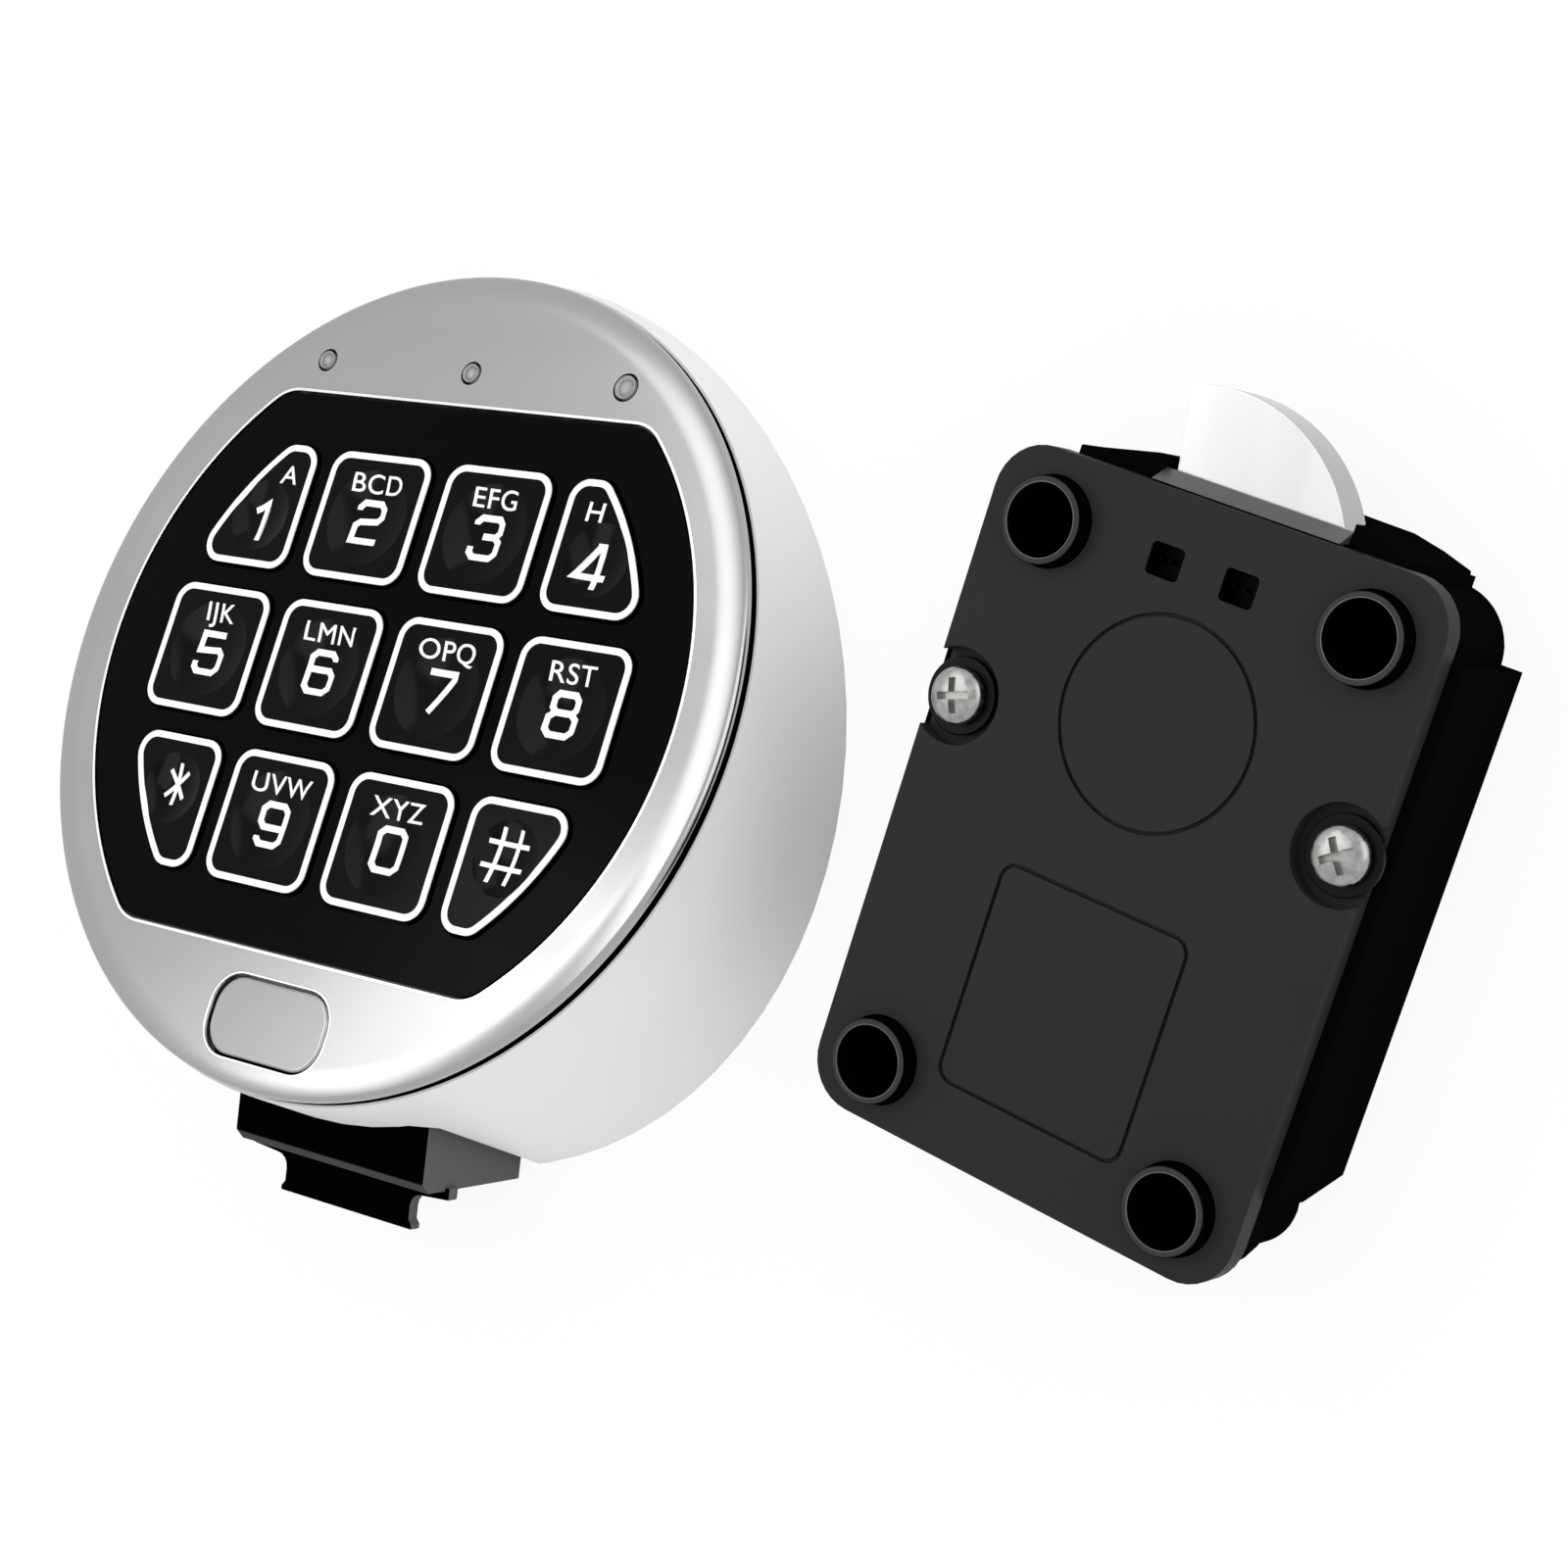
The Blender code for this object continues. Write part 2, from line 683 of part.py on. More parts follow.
def board_screw_spots():
    return [(x * BOARD_SCREW_X, y * BOARD_SCREW_Y) for y in (1, -1) for x in (-1, 1)]


def make_face_ring():
    edge = arc(RING_EDGE, QUARTER_TURN, 0.0, CORNER_FLATS, RING_RADIUS - RING_EDGE, -RING_EDGE)
    profile = [(0.0, 0.0), *edge, (RING_RADIUS, -RING_THICKNESS), (0.0, -RING_THICKNESS)]
    ring = add_part("face_ring", profile_mesh("face_ring", profile), keypad_face, brushed_aluminium)
    turn_profile(ring, RIM_FLATS)
    below = -RING_THICKNESS - OVERRUN
    opening = barrel(PANEL_RADIUS, PANEL_HALF_HEIGHT, PANEL_CORNER, PANEL_CENTRE_Y)
    cut(ring, plate_mesh("ring_opening", [opening], below, OVERRUN), keypad_face)
    holes = [
        (radius + CLEARANCE, below, OVERRUN, SMALL_FLATS, x, INDICATOR_Y)
        for _, x, radius in indicators()
    ]
    cut(ring, cylinder_mesh("ring_holes", *holes), keypad_face)
    cut(ring, plate_mesh("pad_recess", [pad_outline(0.0)], -PAD_RECESS, OVERRUN), keypad_face)


def pad_outline(margin):
    half_x = PAD_HALF_WIDTH - margin
    half_y = PAD_HALF_HEIGHT - margin
    return rounded_rectangle(half_x, half_y, PAD_CORNER - margin, 0.0, PAD_Y)


def make_oval_pad():
    bottom = -PAD_RECESS + CLEARANCE
    mesh = plate_mesh("oval_pad", [pad_outline(CLEARANCE)], bottom, bottom + PAD_THICKNESS)
    add_part("oval_pad", mesh, keypad_face, brushed_aluminium)


def key_middle(row, column):
    x = KEY_MIDDLE_X + (column - (KEY_COLUMNS - 1) / 2) * KEY_PITCH_X
    y = KEY_MIDDLE_Y + ((KEY_ROWS - 1) / 2 - row) * KEY_PITCH_Y
    return x, y


def key_outline(row, column, margin):
    """A rounded square, trimmed by the circle that runs round the twelve keys."""
    x, y = key_middle(row, column)
    offset_x = abs(x - KEY_MIDDLE_X)
    offset_y = abs(y - KEY_MIDDLE_Y)
    side = 1 if x > KEY_MIDDLE_X else -1
    up = 1 if y >= KEY_MIDDLE_Y else -1
    arm = KEY_HALF_SIDE - KEY_CORNER
    radius = KEY_CORNER + margin
    inner, outer = offset_x - arm, offset_x + arm
    low, high = offset_y - arm, offset_y + arm
    reach = KEY_TRIM_RADIUS - KEY_CORNER
    points = arc(radius, -math.pi, -QUARTER_TURN, CORNER_FLATS, inner, low)
    if math.hypot(outer, high) > reach:
        low_x = math.sqrt(reach ** 2 - low ** 2)
        high_x = math.sqrt(reach ** 2 - high ** 2)
        start, end = math.atan2(low, low_x), math.atan2(high, high_x)
        points += arc(radius, -QUARTER_TURN, start, CORNER_FLATS, low_x, low)
        points += arc(KEY_TRIM_RADIUS + margin, start, end, CORNER_FLATS)[1:-1]
        points += arc(radius, end, QUARTER_TURN, CORNER_FLATS, high_x, high)
    else:
        points += arc(radius, -QUARTER_TURN, 0.0, CORNER_FLATS, outer, low)
        points += arc(radius, 0.0, QUARTER_TURN, CORNER_FLATS, outer, high)
    points += arc(radius, QUARTER_TURN, math.pi, CORNER_FLATS, inner, high)
    if side * up < 0:
        points.reverse()
    return [(KEY_MIDDLE_X + side * px, KEY_MIDDLE_Y + up * py) for px, py in points]


def dish_spot(row, column):
    """The centre and radius of the dish in a key. A corner key's is smaller and nearer the middle."""
    x, y = key_middle(row, column)
    if y == key_middle(1, 0)[1] or column not in (0, KEY_COLUMNS - 1):
        return x, y, DISH_RADIUS
    x -= math.copysign(CORNER_DISH_SHIFT, x)
    y -= math.copysign(CORNER_DISH_SHIFT, y)
    return x, y, CORNER_DISH_RADIUS


def dish_profile(radius):
    """A shallow bowl, from the middle of its flat lid out and down to its lowest point."""
    ball = (radius ** 2 + DISH_DEPTH ** 2) / (2 * DISH_DEPTH)
    wide = radius + DISH_DEPTH
    profile = [(0.0, OVERRUN), (wide, OVERRUN)]
    for step in range(DISH_STEPS + 1):
        r = wide * (1 - step / DISH_STEPS)
        profile.append((r, ball - DISH_DEPTH - math.sqrt(ball ** 2 - r ** 2)))
    return profile


def make_key(row, column):
    name = KEY_NAMES[row][column]
    top = PANEL_TOP + KEY_PROUD
    flange_top = PANEL_BOTTOM - CLEARANCE
    flange_bottom = flange_top - KEY_FLANGE_THICKNESS
    cap = plate_mesh(name, [key_outline(row, column, 0.0)], flange_bottom, top)
    key = add_part(name, cap, keypad_face, key_plastic)
    round_top_edges(key, KEY_EDGE, 1)
    flange = [key_outline(row, column, KEY_FLANGE_REACH)]
    join(key, plate_mesh(name + "_flange", flange, flange_bottom, flange_top), keypad_face)
    x, y, radius = dish_spot(row, column)
    dish = profile_mesh(name + "_dish", dish_profile(radius))
    turn_profile(add_tool(dish, keypad_face, (x, y, top)), HOLE_FLATS)
    combine(key, bpy.data.objects[name + "_dish"], "DIFFERENCE")


def make_keys():
    for row in range(KEY_ROWS):
        for column in range(KEY_COLUMNS):
            make_key(row, column)


def make_panel():
    outline = barrel(
        PANEL_RADIUS - CLEARANCE,
        PANEL_HALF_HEIGHT - CLEARANCE,
        PANEL_CORNER - CLEARANCE,
        PANEL_CENTRE_Y,
    )
    openings = [
        key_outline(row, column, CLEARANCE)
        for row in range(KEY_ROWS)
        for column in range(KEY_COLUMNS)
    ]
    mesh = plate_mesh("keypad_panel", [outline] + openings, PANEL_BOTTOM, PANEL_TOP)
    add_part("keypad_panel", mesh, keypad_face, gloss_black)


def make_indicators():
    for name, x, radius in indicators():
        mesh = cylinder_mesh(name, (radius, DECK_BOTTOM, INDICATOR_RISE, SMALL_FLATS))
        add_part(name, mesh, keypad_face, lens_plastic, (x, INDICATOR_Y, 0.0))


def make_key_mat():
    """The rubber sheet with a low dome under each key."""
    sheet = barrel(MAT_RADIUS, MAT_HALF_HEIGHT, WINDOW_CORNER)
    bottom = MAT_TOP - MAT_THICKNESS
    mat = add_part("key_mat", plate_mesh("key_mat", [sheet], bottom, MAT_TOP), keypad_face, black_rubber)
    shape = bmesh.new()
    low, high = MAT_TOP - MAT_THICKNESS / 2, MAT_TOP + DOME_RISE
    for row in range(KEY_ROWS):
        for column in range(KEY_COLUMNS):
            x, y, _ = dish_spot(row, column)
            add_cylinder(shape, DOME_RADIUS, low, high, SMALL_FLATS, x, y, DOME_TOP_RADIUS)
    join(mat, mesh_of("mat_domes", shape), keypad_face)


def make_keypad_board():
    outline = barrel(BOARD_RADIUS, BOARD_HALF_HEIGHT, WINDOW_CORNER)
    holes = [
        circle(BOARD_SCREW_RADIUS + CLEARANCE, SMALL_FLATS, x, y) for x, y in board_screw_spots()
    ]
    mesh = plate_mesh("keypad_board", [outline] + holes, BOARD_BOTTOM, BOARD_TOP)
    add_part("keypad_board", mesh, keypad_face, circuit_green)


def make_board_screws():
    head_top = BOARD_BOTTOM - CLEARANCE
    profile = [
        (0.0, DECK_BOTTOM + BOARD_SCREW_DEPTH),
        (BOARD_SCREW_RADIUS, DECK_BOTTOM + BOARD_SCREW_DEPTH),
        (BOARD_SCREW_RADIUS, head_top),
        (BOARD_SCREW_HEAD_RADIUS, head_top),
        (BOARD_SCREW_HEAD_RADIUS, head_top - BOARD_SCREW_HEAD),
        (0.0, head_top - BOARD_SCREW_HEAD),
    ]
    for number, (x, y) in enumerate(board_screw_spots(), start=1):
        name = "board_screw_%d" % number
        screw = add_part(name, profile_mesh(name, profile), keypad_face, zinc_steel, (x, y, 0.0))
        turn_profile(screw, SMALL_FLATS)


def make_sounder():
    top = BOARD_BOTTOM - CLEARANCE
    bottom = top - SOUNDER_HEIGHT
    body = cylinder_mesh("sounder", (SOUNDER_RADIUS, bottom, top, HOLE_FLATS))
    sounder = add_part("sounder", body, keypad_face, black_plastic, (SOUNDER_X, SOUNDER_Y, 0.0))
    span = (bottom - OVERRUN, bottom + SOUNDER_PORT_RADIUS)
    port = cylinder_mesh("sounder_port", (SOUNDER_PORT_RADIUS, *span, SMALL_FLATS))
    cut(sounder, port, keypad_face, (SOUNDER_X, SOUNDER_Y, 0.0))


def make_keypad_socket():
    top = BOARD_BOTTOM - CLEARANCE
    bottom = top - KEYPAD_SOCKET_HEIGHT
    half_x, half_y = KEYPAD_SOCKET_HALF_X, KEYPAD_SOCKET_HALF_Y
    spot = (KEYPAD_SOCKET_X, KEYPAD_SOCKET_Y, 0.0)
    body = box_mesh("keypad_cable_socket", (-half_x, half_x, -half_y, half_y, bottom, top))
    socket = add_part("keypad_cable_socket", body, keypad_face, cream_plastic, spot)
    in_x, in_y = half_x - KEYPAD_SOCKET_WALL, half_y - KEYPAD_SOCKET_WALL
    inside = (-in_x, in_x, -in_y, in_y, bottom - OVERRUN, top - KEYPAD_SOCKET_FLOOR)
    cut(socket, box_mesh("keypad_socket_hollow", inside), keypad_face, spot)


def plate_radius():
    """The radius that clears the wall where it leans in the most, at the low end of the slope."""
    reach = WALL_TOP_RADIUS - WALL_THICKNESS
    top_y = FACE_FORWARD + reach * math.cos(FACE_SLOPE) + DECK_BOTTOM * math.sin(FACE_SLOPE)
    top_z = FACE_HEIGHT - reach * math.sin(FACE_SLOPE) + DECK_BOTTOM * math.cos(FACE_SLOPE)
    foot = FOOT_RADIUS - WALL_THICKNESS
    return foot + min((top_y - foot) / top_z * PLATE_THICKNESS, 0.0) - PLATE_GAP


def make_base_plate():
    holes = [circle(CABLE_HOLE_RADIUS, HOLE_FLATS, 0.0, CABLE_HOLE_Y)]
    for side in (1, -1):
        holes.append(circle(DOOR_SCREW_HOLE_RADIUS, SMALL_FLATS, side * DOOR_SCREW_X, CABLE_HOLE_Y))
    outlines = [circle(plate_radius(), RIM_FLATS)] + holes
    mesh = plate_mesh("base_plate", outlines, 0.0, PLATE_THICKNESS)
    plate = add_part("base_plate", mesh, keypad_base, sheet_steel)
    shape = bmesh.new()
    head = POST_SCREW_HEAD_RADIUS + 2 * CLEARANCE
    hole = POST_SCREW_RADIUS + CLEARANCE
    sink = PLATE_THICKNESS - CLEARANCE
    mouth = head + (head - hole) / sink * OVERRUN
    for x, y in post_spots():
        add_cylinder(shape, mouth, -OVERRUN, sink, SMALL_FLATS, x, y, hole)
    cut(plate, mesh_of("plate_sinks", shape), keypad_base)
    shanks = [
        (hole, -OVERRUN, PLATE_THICKNESS + OVERRUN, SMALL_FLATS, x, y) for x, y in post_spots()
    ]
    cut(plate, cylinder_mesh("plate_screw_holes", *shanks), keypad_base)


def make_base_screws():
    """Countersunk screws, heads just inside the plate's underside."""
    end = PLATE_THICKNESS + POST_SCREW_DEPTH
    profile = [
        (0.0, end),
        (POST_SCREW_RADIUS, end),
        (POST_SCREW_RADIUS, PLATE_THICKNESS - CLEARANCE),
        (POST_SCREW_HEAD_RADIUS, CLEARANCE),
        (0.0, CLEARANCE),
    ]
    for number, (x, y) in enumerate(post_spots(), start=1):
        name = "base_screw_%d" % number
        screw = add_part(name, profile_mesh(name, profile), keypad_base, zinc_steel, (x, y, 0.0))
        turn_profile(screw, SMALL_FLATS)


def make_battery():
    """The block with its stud and its wider socket terminal at the inner end."""
    outline = rounded_rectangle(BATTERY_HALF_WIDTH, BATTERY_HEIGHT / 2, BATTERY_CORNER)
    body = plate_mesh("battery", [outline], 0.0, BATTERY_LENGTH)
    spot = (0.0, BATTERY_INNER_Y, BATTERY_MIDDLE)
    battery = add_part("battery", body, carrier_slide, battery_sleeve, spot, UPRIGHT)
    sizes = ((-TERMINAL_SPACING, STUD_TERMINAL_RADIUS), (TERMINAL_SPACING, SOCKET_TERMINAL_RADIUS))
    terminals = [(r, -TERMINAL_LENGTH, TERMINAL_LENGTH, SMALL_FLATS, x) for x, r in sizes]
    join(battery, cylinder_mesh("battery_terminals", *terminals), carrier_slide, spot, UPRIGHT)


def make_battery_contacts():
    """The upright block on the base plate that the terminals meet."""
    near = BATTERY_INNER_Y + TERMINAL_LENGTH + CLEARANCE
    half = CONTACT_HALF_WIDTH
    bottom = PLATE_THICKNESS + CLEARANCE
    upright = (-half, half, near, near + CONTACT_THICKNESS, bottom, bottom + CONTACT_HEIGHT)
    block = add_part("battery_contacts", box_mesh("battery_contacts", upright), keypad_base, black_plastic)
    foot = (-half, half, near, near + CONTACT_FOOT, bottom, bottom + CONTACT_THICKNESS)
    join(block, box_mesh("contact_foot", foot), keypad_base)


def tab_outline(front):
    """The pull tab seen from above: its lip, its straight sides, the fillets and its wide tapered root."""
    root = front - TAB_ROOT_LENGTH
    end = root - TAB_LENGTH
    corner_x = TAB_HALF_WIDTH + TAB_FILLET
    fillet = arc(TAB_FILLET, math.pi, QUARTER_TURN, CORNER_FLATS, corner_x, root - TAB_FILLET)
    right = [
        (LIP_HALF_WIDTH, end),
        (LIP_HALF_WIDTH, end + LIP_LENGTH),
        (TAB_HALF_WIDTH, end + 2 * LIP_LENGTH),
        *fillet,
        (TAB_ROOT_HALF_WIDTH, root + TAB_ROOT_TAPER),
        (TAB_ROOT_HALF_WIDTH, front + DRAWER_FRONT / 2),
    ]
    return right + [(-x, y) for x, y in reversed(right)]


def make_battery_carrier():
    """The tray, the drawer front round the battery's outer end, and the pull tab."""
    wall_y = BATTERY_OUTER_Y - CLEARANCE
    front = wall_y - DRAWER_FRONT
    wide = DRAWER_HALF_WIDTH
    block = box_mesh("battery_carrier", (-wide, wide, front, DRAWER_INNER_Y, CARRIER_BOTTOM, DRAWER_TOP))
    carrier = add_part("battery_carrier", block, carrier_slide, black_plastic)
    inside = BATTERY_HALF_WIDTH + CLEARANCE
    half = inside + CARRIER_WALL
    floor_top = CARRIER_BOTTOM + CARRIER_FLOOR
    tray = (-half, half, wall_y, BATTERY_INNER_Y, CARRIER_BOTTOM, floor_top + CARRIER_SIDE_HEIGHT)
    join(carrier, box_mesh("carrier_tray", tray), carrier_slide)
    roof = BATTERY_BOTTOM + BATTERY_HEIGHT + CLEARANCE
    room = (-inside, inside, wall_y, BATTERY_INNER_Y + OVERRUN, floor_top, roof)
    cut(carrier, box_mesh("carrier_room", room), carrier_slide)
    chamfer = box_mesh("drawer_chamfer", (-2 * wide, 2 * wide, -wide, 0.0, -wide, wide))
    edge = (0.0, front + DRAWER_CHAMFER / 2, DRAWER_TOP - DRAWER_CHAMFER / 2)
    cut(carrier, chamfer, carrier_slide, edge, (-QUARTER_TURN / 2, 0.0, 0.0))
    tab = plate_mesh("carrier_tab", [tab_outline(front)], TAB_TOP - TAB_THICKNESS, TAB_TOP)
    join(carrier, tab, carrier_slide)


# Lock body


def lock_holes():
    """The four mounting holes: name, place, and whether it is at the bolt's end."""
    return (
        ("sleeve_top_left", -LOCK_HOLE_X, LOCK_HOLE_Y, True),
        ("sleeve_top_right", LOCK_HOLE_X, LOCK_HOLE_Y, True),
        ("sleeve_bottom_left", -LOCK_HOLE_X, -LOCK_HOLE_Y, False),
        ("sleeve_bottom_right", LOCK_HOLE_X, -LOCK_HOLE_Y, False),
    )


def wide_body_outline():
    return [
        (-CASE_CHAMFER_X, CASE_CHAMFER_Y),
        (CASE_CHAMFER_X, CASE_CHAMFER_Y),
        (CASE_HALF_WIDTH, CASE_SIDE_BOTTOM),
        (CASE_HALF_WIDTH, CASE_SIDE_TOP),
        (-CASE_HALF_WIDTH, CASE_SIDE_TOP),
        (-CASE_HALF_WIDTH, CASE_SIDE_BOTTOM),
    ]


def hollows():
    """The wide pocket of the case and the long neck that crosses it, as box sides."""
    return (
        ("case_pocket", (-POCKET_HALF_WIDTH, POCKET_HALF_WIDTH, POCKET_BOTTOM, POCKET_TOP)),
        ("case_neck", (-NECK_HALF_WIDTH, NECK_HALF_WIDTH, NECK_BOTTOM, NECK_TOP)),
    )


def bolt_room_outline():
    """The part of the case that the swinging bolt's arc passes, with room round it."""
    radius = BOLT_RADIUS + BOLT_ROOM
    end = math.asin((NECK_TOP - BOLT_Y) / radius)
    return [(BOLT_X, BOLT_Y)] + arc(radius, BOLT_ROOM_START, end, ARC_FLATS, BOLT_X, BOLT_Y)


def board_posts():
    return (
        (BOARD_POST_X, BOARD_POST_LOW_Y),
        (-BOARD_POST_X, BOARD_POST_LOW_Y),
        (-BOARD_POST_X, BOARD_POST_HIGH_Y),
    )


def make_case():
    body = plate_mesh("lock_case", [wide_body_outline()], 0.0, CASE_TOP)
    case = add_part("lock_case", body, lock_base, charcoal_metal)
    long_body = rectangle(-CASE_LONG_HALF_WIDTH, CASE_LONG_HALF_WIDTH, CASE_LONG_BOTTOM, CASE_LONG_TOP)
    join(case, plate_mesh("case_long_body", [long_body], 0.0, CASE_TOP), lock_base)
    corners = []
    ears = []
    for _, x, y, at_bolt in lock_holes():
        radius = TOP_CORNER_RADIUS if at_bolt else FOOT_CORNER_RADIUS
        corners.append((radius, 0.0, CASE_TOP, HOLE_FLATS, x, y))
        if not at_bolt:
            ears.append((EAR_RADIUS, EAR_BOTTOM, CASE_TOP, HOLE_FLATS, x, y))
    join(case, cylinder_mesh("case_corners", *corners), lock_base)
    join(case, cylinder_mesh("case_ears", *ears), lock_base)
    above = CASE_TOP + OVERRUN
    for name, sides in hollows():
        cut(case, box_mesh(name, (*sides, CASE_FLOOR, above)), lock_base)
    room_floor = BOLT_BOTTOM - BOLT_ROOM
    cut(case, plate_mesh("bolt_room", [bolt_room_outline()], room_floor, above), lock_base)
    slot = (SLOT_LEFT, SLOT_RIGHT, NECK_TOP - OVERRUN, CASE_LONG_TOP + OVERRUN, SLOT_BOTTOM, above)
    cut(case, box_mesh("bolt_slot", slot), lock_base)
    join(case, cylinder_mesh("case_bosses", *case_bosses()), lock_base)
    cut(case, cylinder_mesh("sleeve_seats", *sleeve_holes(CASE_FLOOR, above)), lock_base)
    bores = [(SLEEVE_BORE, -OVERRUN, above, HOLE_FLATS, x, y) for _, x, y, _ in lock_holes()]
    cut(case, cylinder_mesh("case_bores", *bores), lock_base)
    cut(case, cylinder_mesh("case_pin_holes", *case_pin_holes(above)), lock_base)


def case_bosses():
    """What stands on the case's floor: for the cover screws, the two pins and the board."""
    foot = CASE_FLOOR / 2
    bolt_seat = BOLT_BOTTOM - CLEARANCE
    lever_seat = LEVER_BOTTOM - CLEARANCE
    bosses = [
        (SCREW_BOSS_RADIUS, foot, CASE_TOP, HOLE_FLATS, SCREW_X, SCREW_Y),
        (SCREW_BOSS_RADIUS, foot, CASE_TOP, HOLE_FLATS, -SCREW_X, SCREW_Y),
        (BOLT_BOSS_RADIUS, foot, bolt_seat, HOLE_FLATS, BOLT_X, BOLT_Y),
        (LEVER_BOSS_RADIUS, foot, lever_seat, HOLE_FLATS, LEVER_X, LEVER_Y),
    ]
    board_seat = LOCK_BOARD_BOTTOM - CLEARANCE
    for x, y in board_posts():
        bosses.append((BOARD_POST_RADIUS, foot, board_seat, SMALL_FLATS, x, y))
    return bosses


def sleeve_holes(bottom, top):
    radius = SLEEVE_RADIUS + CLEARANCE
    return [(radius, bottom, top, HOLE_FLATS, x, y) for _, x, y, _ in lock_holes()]


def case_pin_holes(above):
    screw_end = CASE_TOP - SCREW_DEPTH - CLEARANCE
    screw = SCREW_RADIUS + CLEARANCE
    return [
        (screw, screw_end, above, SMALL_FLATS, SCREW_X, SCREW_Y),
        (screw, screw_end, above, SMALL_FLATS, -SCREW_X, SCREW_Y),
        (BOLT_PIN_RADIUS + CLEARANCE, CASE_FLOOR, BOLT_TOP, HOLE_FLATS, BOLT_X, BOLT_Y),
        (LEVER_PIN_RADIUS + CLEARANCE, CASE_FLOOR, BOLT_TOP, SMALL_FLATS, LEVER_X, LEVER_Y),
    ]


def make_cover():
    outline = rounded_rectangle(COVER_HALF_WIDTH, COVER_HALF_LENGTH, COVER_CORNER, 0.0, COVER_MIDDLE_Y)
    mesh = plate_mesh("lock_cover", [outline], COVER_BOTTOM, COVER_TOP)
    cover = add_part("lock_cover", mesh, lock_base, charcoal_metal)
    round_top_edges(cover, COVER_EDGE, COVER_EDGE_STEPS)
    above = COVER_TOP + OVERRUN
    below = COVER_BOTTOM - OVERRUN
    for side, name in ((1, "right_recess"), (-1, "left_recess")):
        spot = (side * SCREW_X, SCREW_Y, 0.0)
        recess = cylinder_mesh(name, (RECESS_RADIUS, RECESS_FLOOR, above, HOLE_FLATS))
        cut(cover, recess, lock_base, spot)
    cut(cover, cylinder_mesh("cover_sleeve_holes", *sleeve_holes(below, above)), lock_base)
    screw_holes = [
        (SCREW_HOLE_RADIUS, below, above, SMALL_FLATS, side * SCREW_X, SCREW_Y) for side in (1, -1)
    ]
    cut(cover, cylinder_mesh("cover_screw_holes", *screw_holes), lock_base)
    grown = SOCKET_WALL + CLEARANCE
    windows = [(*socket_sides(x, grown), below, above) for x in (LEFT_SOCKET_X, RIGHT_SOCKET_X)]
    cut(cover, box_mesh("socket_windows", *windows), lock_base)
    for name, outlines in engravings():
        cut(cover, plate_mesh(name, outlines, COVER_TOP - ENGRAVING_DEPTH, above), lock_base)


def engravings():
    """The outer and inner outline of each engraved line."""
    circles = []
    squares = []
    for margin in (ENGRAVING_WIDTH / 2, -ENGRAVING_WIDTH / 2):
        circles.append(circle(ENGRAVED_CIRCLE_RADIUS + margin, RIM_FLATS // 2, 0.0, ENGRAVED_CIRCLE_Y))
        half_x = ENGRAVED_SQUARE_HALF_X + margin
        half_y = ENGRAVED_SQUARE_HALF_Y + margin
        corner = ENGRAVED_SQUARE_CORNER + margin
        squares.append(rounded_rectangle(half_x, half_y, corner, 0.0, ENGRAVED_SQUARE_Y))
    return (("engraved_circle", circles), ("engraved_square", squares))


def make_sleeves():
    bottom = CASE_FLOOR + CLEARANCE
    outlines = [circle(SLEEVE_RADIUS, HOLE_FLATS), circle(SLEEVE_BORE, HOLE_FLATS)]
    for name, x, y, _ in lock_holes():
        mesh = plate_mesh(name, outlines, bottom, SLEEVE_TOP)
        add_part(name, mesh, lock_base, black_sleeve, (x, y, 0.0))


def make_cover_screws():
    """Cross-head screws, each clamping a washer on the cover's recess."""
    washer_bottom = RECESS_FLOOR + CLEARANCE
    washer_top = washer_bottom + WASHER_THICKNESS
    head_bottom = washer_top + CLEARANCE
    head_top = head_bottom + SCREW_HEAD
    end = CASE_TOP - SCREW_DEPTH
    profile = [
        (0.0, head_top),
        (SCREW_HEAD_RADIUS - SCREW_HEAD_CROWN, head_top),
        (SCREW_HEAD_RADIUS, head_top - SCREW_HEAD_CROWN),
        (SCREW_HEAD_RADIUS, head_bottom),
        (SCREW_RADIUS, head_bottom),
        (SCREW_RADIUS, end),
        (0.0, end),
    ]
    rings = [circle(WASHER_RADIUS, HOLE_FLATS), circle(SCREW_HOLE_RADIUS, SMALL_FLATS)]
    for side, label in ((-1, "left"), (1, "right")):
        spot = (side * SCREW_X, SCREW_Y, 0.0)
        washer = plate_mesh("cover_washer_" + label, rings, washer_bottom, washer_top)
        add_part("cover_washer_" + label, washer, lock_base, zinc_steel, spot)
        name = "cover_screw_" + label
        screw = add_part(name, profile_mesh(name, profile), lock_base, zinc_steel, spot)
        turn_profile(screw, SMALL_FLATS)
        arm, half = CROSS_LENGTH / 2, CROSS_WIDTH / 2
        for half_x, half_y in ((arm, half), (half, arm)):
            sides = (-half_x, half_x, -half_y, half_y)
            slot = box_mesh(name + "_slot", (*sides, head_top - CROSS_DEPTH, head_top + OVERRUN))
            cut(screw, slot, lock_base, spot)


